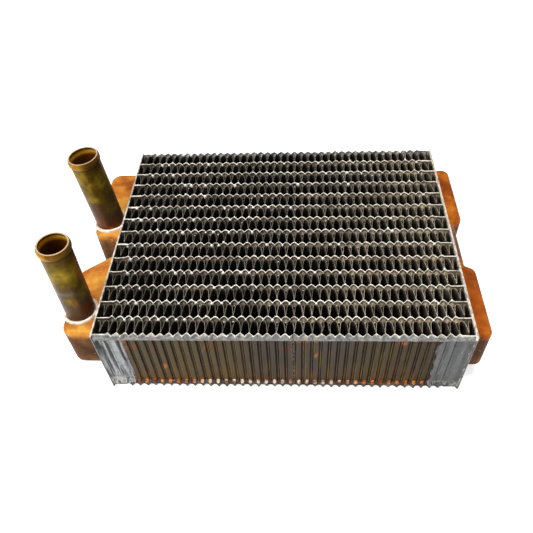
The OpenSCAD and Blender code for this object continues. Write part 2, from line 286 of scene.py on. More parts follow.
def beadLook(tree, place, along):  # the drops in the dimples: orange copper at the ends, pale pink in the middle
    smear = noise(tree, stretched(tree, place, (0.5, 1.0, 1.0)), 420.0, 4.0, 0.6)
    copper = ramp(tree, smear, [(0.36, (0.12, 0.02, 0.008)), (0.46, (0.3, 0.07, 0.01)), (0.58, (0.55, 0.17, 0.015)),
                                (0.7, (0.75, 0.42, 0.16))])
    pink = ramp(tree, smear, [(0.38, (0.2, 0.07, 0.03)), (0.46, (0.5, 0.34, 0.24)), (0.56, (0.8, 0.68, 0.54))])
    apart = put(tree, "Math", {0: along}, operation="ABSOLUTE").outputs[0]
    return blendColour(tree, level(tree, apart, 0.05, 0.03, 0.0, 0.85), copper, pink)


def bandMaterial():  # grey wiped solder on the outer lobes, with scuffs, the lower lobes painted dark as shade; orange copper in the dimples below the panel
    made, tree, shader, place = startMaterial("bandSolder", 0.3, 0.25)
    grain = noise(tree, place, 800.0, 6.0, 0.65)
    smear = noise(tree, stretched(tree, place, (0.5, 1.0, 1.0)), 420.0, 4.0, 0.6)
    colour = ramp(tree, grain, [(0.3, (0.06, 0.062, 0.06)), (0.45, (0.14, 0.143, 0.14)), (0.6, (0.21, 0.21, 0.2)),
                                (0.75, (0.42, 0.4, 0.36))])
    # painted shade: the lower band is darkened nearly to black
    colour = blendColour(tree, times(tree, mark(tree, "lowerBandShade"), level(tree, smear, 0.66, 0.6, 0.25, 0.95)), colour, (0.018, 0.017, 0.015))
    top = mark(tree, "solder")
    bright = times(tree, level(tree, top, 0.85, 0.98), level(tree, smear, 0.42, 0.58, 0.3, 1.0))
    colour = blendColour(tree, bright, colour, finish["solderLight"])
    fleck = times(tree, level(tree, smear, 0.5, 0.62), level(tree, top, 0.25, 0.5, 0.25, 1.0))
    fleck = times(tree, fleck, level(tree, mark(tree, "lowerBandShade"), 0.0, 1.0, 1.0, 0.3))
    colour = blendColour(tree, fleck, colour, (0.6, 0.56, 0.47))
    orange = mark(tree, "orange")
    along = put(tree, "SeparateXYZ", {0: place}).outputs[0]
    copper = beadLook(tree, place, along)
    colour = blendColour(tree, level(tree, orange, 0.08, 0.4), colour, (0.05, 0.014, 0.008))
    colour = blendColour(tree, level(tree, orange, 0.5, 0.9), colour, copper)
    colour = blendColour(tree, mark(tree, "shade"), colour, (0.035, 0.03, 0.026))
    colour = seamLine(tree, place, along, colour)
    dress(tree, shader, colour, level(tree, smear, 0.3, 0.7, 0.34, 0.55), grain, 0.8, 0.0004)
    return made


def finMaterial():  # tarnished strip, thinly tinned along its cut edges, which also carry a painted highlight
    made, tree, shader, place = startMaterial("finStrip", 0.3, 0.1)
    tinAndHighlight = mark(tree, "solder")
    cloud = noise(tree, stretched(tree, place, (1.0, 1.0, 0.25)), 260.0, 5.0, 0.6)
    fine = noise(tree, stretched(tree, place, (1.0, 1.0, 0.2)), 1500.0, 3.0)
    # painted shade and light: dark strip at the pipes' end, lighter tan towards the far front corner
    share = stainAndLightShare(tree, place)
    sootAndShadeStrip = ramp(tree, cloud, [(0.4, finish["stripBlack"]), (0.58, (0.05, 0.04, 0.03)), (0.72, (0.2, 0.175, 0.14))])
    tan = ramp(tree, cloud, [(0.36, (0.022, 0.017, 0.012)), (0.52, (0.07, 0.053, 0.036)), (0.7, (0.24, 0.19, 0.13))])
    # painted highlight: the tinned cut edges are lighter, brighter towards the far front corner where the light falls
    lit = blendColour(tree, share, (0.2, 0.182, 0.152), (0.6, 0.53, 0.41))
    lit = blendColour(tree, level(tree, fine, 0.56, 0.4, 0.0, 0.8), lit, (0.06, 0.05, 0.038))
    high = put(tree, "SeparateXYZ", {0: place}).outputs[2]
    away = put(tree, "Math", {0: high, 1: coreMiddle * mm}, operation="SUBTRACT").outputs[0]
    away = put(tree, "Math", {0: away}, operation="ABSOLUTE").outputs[0]
    # painted shade: the strip darkens to black deeper into the core, away from its top and bottom faces
    strip = blendColour(tree, level(tree, away, 0.0235, 0.0165, 0.0, 0.88), blendColour(tree, share, sootAndShadeStrip, tan), finish["stripBlack"])
    colour = blendColour(tree, tinAndHighlight, strip, lit)
    dress(tree, shader, colour, level(tree, cloud, 0.3, 0.7, 0.26, 0.46), fine, 0.35, 0.0002)
    return made


def panelMaterial():  # heat stained bronze: olive at the pipes' end, blue grey in the middle, brown at the far end; painted shade in the pressed lines and painted highlights along the grooves
    made, tree, shader, place = startMaterial("panelStrip", 0.25, 0.04)
    along = put(tree, "SeparateXYZ", {0: place}).outputs[0]
    cloud = noise(tree, place, 30.0, 3.0)
    shift = put(tree, "Math", {0: level(tree, along, -0.09, 0.1), 1: level(tree, cloud, 0.3, 0.7, -0.08, 0.08)},
                operation="ADD").outputs[0]
    base = ramp(tree, shift, [(0.05, (0.074, 0.052, 0.028)), (0.3, (0.068, 0.05, 0.019)), (0.47, (0.044, 0.034, 0.024)),
                              (0.6, (0.046, 0.04, 0.036)), (0.78, (0.048, 0.035, 0.016)), (1.0, (0.037, 0.023, 0.012))])
    streak = noise(tree, stretched(tree, place, (1.0, 1.0, 0.03)), 1100.0, 4.0, 0.6)
    colour = blendColour(tree, level(tree, streak, 0.34, 0.56, 0.7, 0.0), base, (0.06, 0.042, 0.026))
    colour = blendColour(tree, level(tree, streak, 0.56, 0.7, 0.0, 0.45), colour, (0.12, 0.09, 0.055))
    # painted highlight: yellow-olive lines along the grooves, beside the shaded walls
    grooveHighlight = noise(tree, stretched(tree, place, (1.0, 1.0, 0.12)), 300.0, 2.0)
    colour = blendColour(tree, times(tree, level(tree, grooveHighlight, 0.5, 0.62, 0.0, 0.6), mark(tree, "groove")), colour, (0.135, 0.1, 0.014))
    red = noise(tree, stretched(tree, place, (1.0, 1.0, 0.5)), 330.0, 2.0)
    colour = blendColour(tree, times(tree, level(tree, red, 0.57, 0.65), mark(tree, "high")), colour, (0.13, 0.03, 0.013))
    spot = noise(tree, stretched(tree, place, (1.0, 1.0, 0.4)), 95.0, 2.0)
    colour = blendColour(tree, level(tree, spot, 0.7, 0.76, 0.0, 0.8), colour, (0.42, 0.12, 0.015))
    up = put(tree, "SeparateXYZ", {0: place}).outputs[2]
    rust = times(tree, times(tree, level(tree, along, 0.0132, 0.0142), level(tree, along, 0.03, 0.024)), level(tree, up, 0.0428, 0.0436))
    colour = blendColour(tree, times(tree, rust, level(tree, red, 0.36, 0.5, 0.3, 0.8)), colour, (0.17, 0.075, 0.032))
    flush = times(tree, times(tree, level(tree, along, -0.069, -0.075), level(tree, up, 0.035, 0.043)), level(tree, red, 0.4, 0.55))
    colour = blendColour(tree, flush, colour, (0.3, 0.065, 0.018))
    # painted shade: the pressed lines darkened nearly to black
    colour = blendColour(tree, mark(tree, "pressed"), colour, (0.004, 0.0025, 0.0015))
    colour = seamLine(tree, place, along, colour)
    colour = blendColour(tree, mark(tree, "shade"), colour, (0.02, 0.016, 0.012))
    colour = blendColour(tree, times(tree, mark(tree, "low"), level(tree, red, 0.4, 0.6, 0.2, 1.0)), colour, (0.3, 0.085, 0.012))
    colour = blendColour(tree, level(tree, mark(tree, "orange"), 0.48, 0.58), colour, beadLook(tree, place, along))
    dress(tree, shader, colour, level(tree, streak, 0.3, 0.7, 0.4, 0.55), streak, 0.35, 0.0002)
    return made


def coatMaterial(name, streakShare, grey):  # wiped solder: blue grey with dark streaks drawn down, lumpy at the bottom
    made, tree, shader, place = startMaterial(name, 0.35, 0.25)
    streak = noise(tree, stretched(tree, place, (1.0, 1.0, 0.05)), 620.0, 5.0, 0.65)
    lump = noise(tree, place, 420.0, 5.0, 0.6)
    fleck = noise(tree, stretched(tree, place, (1.0, 1.0, 0.3)), 900.0, 3.0)
    base = ramp(tree, streak, [(0.44, (0.012, 0.013, 0.014)), (0.485, tuple(0.5 * g for g in grey)), (0.54, grey),
                               (0.66, tuple(1.6 * g for g in grey))])
    base = blendColour(tree, streakShare, grey, base)
    colour = blendColour(tree, level(tree, lump, 0.54, 0.68, 0.0, 0.5), base, tuple(0.4 * g for g in grey))
    colour = blendColour(tree, times(tree, mark(tree, "lumps"), level(tree, lump, 0.44, 0.52, 0.0, 0.85)), colour, (0.44, 0.43, 0.4))
    colour = blendColour(tree, times(tree, mark(tree, "lumps"), level(tree, lump, 0.47, 0.42)), colour, (0.05, 0.05, 0.048))
    colour = blendColour(tree, level(tree, fleck, 0.68, 0.74, 0.0, 0.7), colour, (0.6, 0.58, 0.52))
    colour = blendColour(tree, mark(tree, "shade"), colour, (0.02, 0.02, 0.02))
    both = put(tree, "Math", {0: streak, 1: times(tree, lump, mark(tree, "lumps"))}, operation="ADD").outputs[0]
    dress(tree, shader, colour, level(tree, lump, 0.3, 0.7, 0.3, 0.5), both, 0.7, 0.0006)
    return made


def tankMaterial():  # copper with heat tint: orange on top, umber down the sides, part heat tint and part painted shade, pale and dark specks
    made, tree, shader, place = startMaterial("tankCopper", 0.25, 0.08)
    x, y, high = put(tree, "SeparateXYZ", {0: place}).outputs
    cloud = noise(tree, place, 60.0, 4.0, 0.6)
    fine = noise(tree, place, 420.0, 5.0, 0.65)
    top = ramp(tree, cloud, [(0.34, (0.24, 0.06, 0.008)), (0.45, (0.4, 0.13, 0.018)), (0.56, (0.5, 0.21, 0.032)),
                             (0.67, (0.62, 0.36, 0.05))])
    far = ramp(tree, cloud, [(0.36, (0.22, 0.045, 0.005)), (0.5, (0.36, 0.08, 0.007)), (0.64, (0.56, 0.17, 0.013))])
    top = blendColour(tree, level(tree, x, 0.0, 0.05), top, far)
    wall = ramp(tree, cloud, [(0.34, (0.05, 0.017, 0.004)), (0.5, (0.1, 0.036, 0.007)), (0.66, (0.2, 0.085, 0.01))])
    edge = put(tree, "Math", {0: high, 1: level(tree, cloud, 0.3, 0.7, -0.0025, 0.0025)}, operation="ADD").outputs[0]
    # painted shade: the walls below the top edge are far darker than the top, partly heat tint
    colour = blendColour(tree, level(tree, edge, 0.0335, 0.0385), wall, top)
    aside = put(tree, "Math", {0: y}, operation="ABSOLUTE").outputs[0]
    aside = put(tree, "Math", {0: aside, 1: level(tree, cloud, 0.3, 0.7, -0.004, 0.004)}, operation="ADD").outputs[0]
    bridge = times(tree, level(tree, aside, 0.0175, 0.0125, 0.0, 0.8), level(tree, x, 0.05, 0.06))
    bridge = times(tree, bridge, level(tree, edge, 0.0325, 0.0375))
    colour = blendColour(tree, bridge, colour, ramp(tree, fine, [(0.4, (0.1, 0.055, 0.04)), (0.6, (0.25, 0.17, 0.135))]))
    colour = blendColour(tree, level(tree, fine, 0.64, 0.72, 0.0, 0.55), colour, (0.9, 0.6, 0.33))
    colour = blendColour(tree, level(tree, fine, 0.36, 0.28, 0.0, 0.75), colour, (0.1, 0.03, 0.012))
    dress(tree, shader, colour, level(tree, cloud, 0.3, 0.75, 0.66, 0.52), fine, 0.25, 0.0004)
    return made


def pipeMaterial():  # brass with olive tarnish, umber and orange near the soldered foot, bright at the rim; painted shade on the side towards the core, on the far left edge and in the crease under the bead, and a painted highlight band inside below the mouth
    made, tree, shader, place = startMaterial("pipeBrass", 0.4, 0.03)
    high = put(tree, "SeparateXYZ", {0: place}).outputs[2]
    cloud = noise(tree, place, 95.0, 4.0, 0.6)
    fine = noise(tree, stretched(tree, place, (1.0, 1.0, 0.3)), 700.0, 4.0, 0.6)
    olive = ramp(tree, cloud, [(0.34, (0.045, 0.022, 0.004)), (0.48, (0.125, 0.078, 0.007)), (0.62, (0.25, 0.17, 0.013))])
    wave = put(tree, "Math", {0: high, 1: level(tree, cloud, 0.3, 0.7, -0.011, 0.011)}, operation="ADD").outputs[0]
    heat = ramp(tree, level(tree, wave, 0.036, 0.066), [(0.0, (0.36, 0.08, 0.006)), (0.16, (0.13, 0.035, 0.008)),
                                                         (0.5, (0.07, 0.04, 0.022)), (1.0, (0.09, 0.056, 0.014))])
    colour = blendColour(tree, level(tree, wave, 0.07, 0.056), olive, heat)
    stain = noise(tree, stretched(tree, place, (1.0, 1.0, 0.22)), 130.0, 3.0)
    colour = blendColour(tree, level(tree, stain, 0.56, 0.64, 0.0, 0.7), colour, (0.27, 0.07, 0.008))
    colour = blendColour(tree, mark(tree, "bead"), colour, ramp(tree, cloud, [(0.36, (0.06, 0.024, 0.003)), (0.5, (0.24, 0.1, 0.008)), (0.64, (0.42, 0.22, 0.016))]))
    # painted shade: the side towards the core and the far left edge darkened
    colour = blendColour(tree, times(tree, mark(tree, "paintedShadeSides"), level(tree, cloud, 0.3, 0.6, 0.5, 1.0)), colour, (0.03, 0.012, 0.003))
    foot = times(tree, mark(tree, "paintedShadeSides"), level(tree, wave, 0.052, 0.043))
    colour = blendColour(tree, foot, colour, (0.5, 0.11, 0.006))
    # painted shade: the crease under the bead darkened
    colour = blendColour(tree, mark(tree, "creaseShade"), colour, (0.008, 0.005, 0.003))
    colour = blendColour(tree, mark(tree, "inside"), colour, (0.12, 0.03, 0.005))
    # painted highlight: a bright golden band round the inner wall below the mouth
    colour = blendColour(tree, mark(tree, "innerLitBand"), colour, (1.0, 0.5, 0.03))
    colour = blendColour(tree, mark(tree, "rim"), colour, (0.8, 0.6, 0.4))
    colour = blendColour(tree, mark(tree, "smear"), colour, (0.1, 0.098, 0.085))
    colour = blendColour(tree, level(tree, fine, 0.34, 0.26, 0.0, 0.85), colour, (0.03, 0.018, 0.008))
    dress(tree, shader, colour, level(tree, cloud, 0.3, 0.7, 0.26, 0.42), fine, 0.2, 0.0003)
    return made


def ringMaterial(name, colours, lowColours=None):  # lumpy soft solder; below the top edge it can be darker
    made, tree, shader, place = startMaterial(name, 0.3, 0.4)
    lump = noise(tree, place, 450.0, 5.0, 0.6)
    colour = ramp(tree, lump, [(0.3, colours[0]), (0.5, colours[1]), (0.75, colours[2])])
    if lowColours:
        high = put(tree, "SeparateXYZ", {0: place}).outputs[2]
        low = ramp(tree, lump, [(0.34, lowColours[0]), (0.55, lowColours[1]), (0.7, lowColours[2])])
        colour = blendColour(tree, level(tree, high, 0.049, 0.046), colour, low)
    dress(tree, shader, colour, level(tree, lump, 0.3, 0.7, 0.36, 0.5), lump, 0.6, 0.0005)
    return made


def plateMaterial(name, innerX, inward, paleFrom):  # grey outside, dark on the side towards the cells, pale at the top
    made, tree, shader, place = startMaterial(name, 0.2, 0.3)
    x, _, high = put(tree, "SeparateXYZ", {0: place}).outputs
    cloud = noise(tree, place, 420.0, 4.0)
    inner = level(tree, x, (innerX - 0.42 * inward) * mm, (innerX - 0.3 * inward) * mm)
    grey = ramp(tree, cloud, [(0.35, (0.09, 0.09, 0.088)), (0.6, (0.24, 0.235, 0.22))])
    colour = blendColour(tree, inner, grey, ramp(tree, cloud, [(0.4, (0.02, 0.018, 0.015)), (0.7, (0.07, 0.06, 0.05))]))
    pale = ramp(tree, cloud, [(0.38, (0.3, 0.26, 0.21)), (0.6, (0.64, 0.58, 0.48))])
    raised = put(tree, "Math", {0: high, 1: level(tree, cloud, 0.3, 0.7, -0.0004, 0.0004)}, operation="ADD").outputs[0]
    colour = blendColour(tree, level(tree, raised, (paleFrom - 0.5) * mm, (paleFrom + 0.1) * mm), colour, pale)
    dress(tree, shader, colour, level(tree, cloud, 0.3, 0.7, 0.4, 0.6), cloud, 0.3, 0.0003)
    return made


leftPlate = [np.array(c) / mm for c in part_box("left_header")]
rightPlate = [np.array(c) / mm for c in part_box("right_header")]
seamStrip = seamMaterial()
bandSolder = bandMaterial()
finStrip = finMaterial()
panelStrip = panelMaterial()
streakedCoat = coatMaterial("streakedCoat", 1.0, (0.23, 0.24, 0.25))
smoothCoat = coatMaterial("smoothCoat", 0.35, (0.085, 0.086, 0.087))
tankCopper = tankMaterial()
pipeBrass = pipeMaterial()
creamSolder = ringMaterial("creamSolder", ((0.45, 0.4, 0.32), (0.72, 0.67, 0.57), (0.86, 0.82, 0.74)))
whiteSolder = ringMaterial("whiteSolder", ((0.8, 0.77, 0.7), (0.95, 0.93, 0.88), (1.0, 1.0, 0.97)))
greySolder = ringMaterial("greySolder", ((0.13, 0.13, 0.125), (0.34, 0.335, 0.32), (0.66, 0.64, 0.58)))
footSolder = ringMaterial("footSolder", ((0.5, 0.4, 0.28), (0.72, 0.63, 0.5), (0.86, 0.79, 0.68)))
edgeSolder = ringMaterial("edgeSolder", ((0.16, 0.14, 0.12), (0.55, 0.5, 0.42), (0.85, 0.79, 0.68)),
                          ((0.06, 0.06, 0.058), (0.2, 0.2, 0.19), (0.5, 0.48, 0.44)))
leftPlateLook = plateMaterial("leftPlate", leftPlate[1][0], 1, 50.35)
rightPlateLook = plateMaterial("rightPlate", rightPlate[0][0], -1, 48.2)
darkSolder = ringMaterial("darkSolder", ((0.04, 0.04, 0.038), (0.1, 0.1, 0.096), (0.24, 0.235, 0.22)))
print("finishes ready")


# ---- the core's own sizes, taken from the solids

core = {"rows": 14, "pitch": 4.59, "wave": 2.1, "peaks": 40, "tube": 2.9929, "lip": 3.5,
        "lipThick": 0.5, "roundness": 0.75, "bandRoundness": 0.15}
middleX = (leftPlate[0][0] + rightPlate[1][0]) / 2
innerLeft, innerRight = leftPlate[1][0], rightPlate[0][0]
coreTop, coreWide = leftPlate[1][2], leftPlate[1][1] - leftPlate[0][1]
rowStep = (coreWide - core["tube"]) / core["rows"]
halfTube = core["tube"] / 2
firstPeak = middleX - (core["peaks"] - 1) / 2 * core["pitch"]


def seamMiddle(i):
    return -coreWide / 2 + halfTube + i * rowStep


def phaseAt(x):  # -0.5 to 0.5 round each peak of the wave, and the number of the peak
    t = (x - firstPeak) / core["pitch"]
    k = np.clip(np.round(t), 0, core["peaks"] - 1)
    return np.clip(t - k, -0.5, 0.5), k.astype(int)


def waveAt(x, seed, roundness):  # arches that blend a cosine with straight flanks, each a little different, straight at both ends
    phase, k = phaseAt(x)
    arch = roundness * np.cos(np.pi * phase) + (1 - roundness) * (1 - 2 * np.abs(phase))
    tall = 1 + 0.1 * np.random.default_rng(seed).uniform(-1, 1, core["peaks"])[k]
    wave = core["wave"] * (arch * tall - 0.5)
    edge = np.minimum(x - (firstPeak - core["pitch"] / 2), firstPeak + (core["peaks"] - 0.5) * core["pitch"] - x)
    fade = ease(edge / (core["pitch"] / 2))
    return wave * fade + 0.12 * ripple(x, seed + 1, 7.0) * fade


def blobAt(x, seed, chance):  # extra solder at the valleys, where the next row's fins join, and at some peaks
    phase, k = phaseAt(x)
    r = np.random.default_rng(seed)
    size = r.uniform(0.1, 1.0, core["peaks"] + 1) ** 2 * (r.uniform(0, 1, core["peaks"] + 1) < chance)
    peakSize = r.uniform(0.0, 0.8, core["peaks"] + 1) ** 2
    valley = np.abs(np.abs(phase) - 0.5) * core["pitch"]
    side = np.where(phase > 0, k + 1, k)
    return (0.75 * size[side] * np.exp(-(valley / 0.6) ** 2)
            + 0.6 * peakSize[k] * np.exp(-(phase * core["pitch"] / 0.5) ** 2))


def stations(offsets):  # x of each section: straight ends, then the same offsets in every pitch
    half = core["pitch"] / 2
    starts = firstPeak - half + np.arange(core["peaks"]) * core["pitch"]
    waves = (starts[:, None] + (np.asarray(offsets) + half)[None, :]).ravel()
    last = firstPeak + (core["peaks"] - 0.5) * core["pitch"]
    ends = np.linspace(innerLeft, starts[0], 6)[:-1]
    return np.concatenate([ends, waves, np.linspace(last, innerRight, 6)])


def waterTube(i):
    # a closed section at each x: lip top, lip side, an eased flare out to the flat wall, and the same below
    x = stations(np.linspace(-0.5, 0.5, 9)[:-1] * core["pitch"])
    top, low = [], []
    for seed, parts in ((100 + i, top), (300 + i, low)):
        s = waveAt(x, 7 if seed < 300 else 8, core["roundness"]) + 0.1 * ripple(x, seed, 9.0)
        t = core["lipThick"] + 0.12 * ripple(x, seed + 50, 3.0) + blobAt(x, seed + 9, 0.7)
        drop = 0.22 + 0.2 * ripple(x, seed + 70, 2.6)
        for sign in (-1, 1):
            rows = [(s + sign * 0.34 * t, drop), (s + sign * 0.5 * t, drop + 0.22),
                    (s + sign * (0.5 * t + 0.02), drop + 0.6)]
            for depth, out in ((1.5, 0.1), (2.0, 0.4), (2.6, 0.78), (3.5, 1.0)):
                rows.append(((s + sign * 0.5 * t) * (1 - out) + sign * halfTube * out, depth + 0 * x))
            parts.append(rows)
        parts.append((s, drop - 0.04 + 0 * x))
    ring, wet, scoopHighlight = [], [], []
    wetLevels = (1.0, 0.95, 0.14, 0.08, 0.06, 0.04, 0.0)
    # painted highlight levels down the flare, strongest at the scoop's middle
    scoopHighlightLevels = (0.0, 0.0, 0.0, 0.35, 1.0, 0.7, 0.0)
    phase, _ = phaseAt(x)
    open_ = np.exp(-(phase / 0.2) ** 2)
    order = [(top[2], 1.0, True)] + [(p, w, True) for p, w in zip(top[0], wetLevels)]
    order += [(p, w, False) for p, w in zip(low[0][::-1], wetLevels[::-1])] + [(low[2], 1.0, False)]
    order += [(p, w, False) for p, w in zip(low[1], wetLevels)]
    order += [(p, w, True) for p, w in zip(top[1][::-1], wetLevels[::-1])]
    for (y, depth), w, upper in order:
        z = coreTop - depth if upper else depth
        ring.append(np.stack([x, seamMiddle(i) + y, z], -1))
        wet.append(w + 0 * x)
        scoopHighlight.append(scoopHighlightLevels[wetLevels.index(w)] * open_)
    outer = np.stack(ring, 1)
    wet, scoopHighlight = np.stack(wet, 1), np.stack(scoopHighlight, 1)
    wall = 0.4
    inner = outer[[0, -1]].copy()
    inner[:, :, 1] = seamMiddle(i) + np.clip(inner[:, :, 1] - seamMiddle(i), wall - halfTube, halfTube - wall)
    inner[:, :, 2] = np.clip(inner[:, :, 2], core["lip"] + wall, coreTop - core["lip"] - wall)
    m, n = outer.shape[:2]
    points = np.concatenate([outer.reshape(-1, 3), inner.reshape(-1, 3)])
    skin = quadsOf(m, n, False, True)
    a = np.arange(n)
    b = (a + 1) % n
    start, end = m * n, m * n + n
    first = np.stack([b, a, start + a, start + b], -1)
    last = np.stack([(m - 1) * n + a, (m - 1) * n + b, end + b, end + a], -1)
    way = np.stack([start + b, start + a, end + a, end + b], -1)
    quads = np.concatenate([skin, first, last, way])
    marks = {"solder": np.concatenate([wet.ravel(), np.zeros(2 * n)]),
             "scoop": np.concatenate([scoopHighlight.ravel(), np.zeros(2 * n)])}
    makePiece(f"waterTube_{i:02d}", points, quads, [seamStrip], [f"water_tube_{i}"], marks)


for number in range(1, core["rows"]):
    waterTube(number)
print("water tubes ready")


fins = {"thick": 0.24, "inset": 0.45, "depths": (0.0, 0.9, 3.2, 9.0, 24.9), "sway": 0.2, "tilt": 0.14}
# bent fins: row, wave number, how far it leans, and how deep the bend goes
fins["bent"] = ((1, 24, 1.0, 7.0), (1, 25, -0.5, 5.0), (4, 31, 0.8, 4.0), (10, 13, -0.9, 5.0), (2, 11, 0.7, 6.0))


def finRow(i):
    # the strip's middle line in plan: half a wave of offsets from the round bend down to the sharp one, mirrored and
    # repeated, then pushed sideways by half the thickness to each side and carried down through the core
    low = seamMiddle(i - 1) + halfTube + fins["thick"] / 2
    high = seamMiddle(i) - halfTube - fins["thick"] / 2
    drop = high - low
    ax = np.array([0.0, 0.25, 0.45, 0.6, 0.7, 0.78, 0.86, 0.94, 0.985])
    ay = np.array([0.0, 0.02, 0.07, 0.16, 0.28, 0.45, 0.65, 0.85, 0.97])
    wx = np.concatenate([ax, [1.0], 2 - ax[:0:-1]]) / 2
    wy = np.concatenate([ay, [1.0], ay[:0:-1]])
    count = core["peaks"] + 2
    k = np.repeat(np.arange(-1, core["peaks"] + 1), len(wx))
    x = firstPeak + (k - 0.5 + np.tile(wx, count)) * core["pitch"]
    y = high - drop * np.tile(wy, count)
    x, y, k = np.append(x, x[-1] + 0.1), np.append(y, high), np.append(k, k[-1])
    keep = (x > innerLeft + 0.2) & (x < innerRight - 0.2)
    x, y, k = x[keep], y[keep], k[keep]
    deep = np.concatenate([np.array(fins["depths"]) + fins["inset"],
                           coreTop - fins["inset"] - np.array(fins["depths"])[::-1]])
    z = coreTop - deep
    r = np.random.default_rng(500 + i)
    free = np.sin(np.pi * np.clip((high - y) / drop, 0, 1))
    shift = np.zeros((len(x), len(z)))
    lean = r.uniform(-1, 1, (core["peaks"] + 3, len(z)))
    half = (np.arange(len(x)) // 9) % 2
    for j in range(len(z)):
        shift[:, j] = fins["sway"] * lean[k + 1, j] * free + fins["tilt"] * ripple(x + half * 777.0, 40 * i + j, 3.0)
    for row, wave, leans, reach in fins["bent"]:
        if row == i:
            shift += (leans * (np.abs(k - wave) < 1) * free)[:, None] * np.exp(-deep / reach)[None, :]
    px = x[:, None] + shift
    py = np.repeat(y[:, None], len(z), 1)
    gx, gy = np.gradient(px, axis=0), np.gradient(py, axis=0)
    size = np.hypot(gx, gy) + 1e-9
    nx, ny = -gy / size * fins["thick"] / 2, gx / size * fins["thick"] / 2
    jag = 0.16 * ripple(np.arange(len(x)) * 1.0, 900 + i, 5.0)
    zz = np.repeat(z[None, :], len(x), 0)
    zz[:, 0] += jag
    front = np.stack([px + nx, py + ny, zz], -1)
    back = np.stack([px - nx, py - ny, zz], -1)
    loop = np.concatenate([front, back[:, ::-1]], 1)
    m, n = loop.shape[:2]
    top = np.zeros((m, n))
    # the tinned share of the cut edges also carries their painted highlight
    tinned = 0.45 + 0.55 * np.clip(ripple(x, 77 + i, 2.0) + 0.35, 0, 1)
    for j, share in ((0, 1.0), (1, 0.15), (n - 1, 1.0), (n - 2, 0.15), (n // 2 - 1, 1.0), (n // 2, 1.0)):
        top[:, j] = share * tinned
    quads = quadsOf(m, n, False, True)
    caps = []
    for j in range(n // 2 - 1):
        caps.append([j + 1, j, n - 1 - j, n - 2 - j])
        e = (m - 1) * n
        caps.append([e + j, e + j + 1, e + n - 2 - j, e + n - 1 - j])
    quads = np.concatenate([quads, np.array(caps)])
    makePiece(f"finRow_{i:02d}", loop, quads, [finStrip], [f"fin_{i}"], {"solder": top}, angle=50)


for number in range(1, core["rows"] + 1):
    finRow(number)
print("fins ready")


side = {"flat": 0.3, "groove": 0.72, "line": 0.6, "ridge": 0.5, "undercut": (1.3, 0.7), "bandDepth": 3.3}
grooveOffsets = [0.0, 0.2, 0.34, 0.48, 0.62, 0.76, 0.92, 1.15, 1.6, 2.0]
grooveOffsets = [-2.295] + [-g for g in grooveOffsets[:0:-1]] + grooveOffsets


def fromGroove(dx, front):  # signed distance from the nearest groove; the rear panel's lie half a pitch further
    return dx if front else dx % core["pitch"] - core["pitch"] / 2


def pressedLines(gx):  # the wide line at the groove's left side and the narrow one at its right, as two bells
    return np.exp(-((gx + side["line"]) / 0.36) ** 4) + np.exp(-((gx - side["line"]) / 0.17) ** 2)


def panelSkin(gx):  # outer face of the panel: flat, with two pressed lines at either side of a sunken ridge at gx = 0
    line = np.clip(pressedLines(gx), 0, 1)
    floor = ease((side["line"] - np.abs(gx)) / 0.3 + 0.5)
    return side["flat"] + side["groove"] * np.maximum(line, floor * (1 - side["ridge"]))


def pressedAt(x, gx, ends):  # painted shade in the pressed lines, wider towards the pipes' end
    near = ease((20.0 - x) / 90.0)
    wide = np.exp(-((gx + side["line"] * (1 - 0.35 * near)) / (0.36 + 0.24 * near)) ** 4)
    lineShade = wide + np.exp(-((gx - side["line"]) / 0.2) ** 2)
    return np.where(ends, 0.0, np.clip(lineShade * (1 + 0.3 * ripple(x, 43, 2.0)), 0, 1))


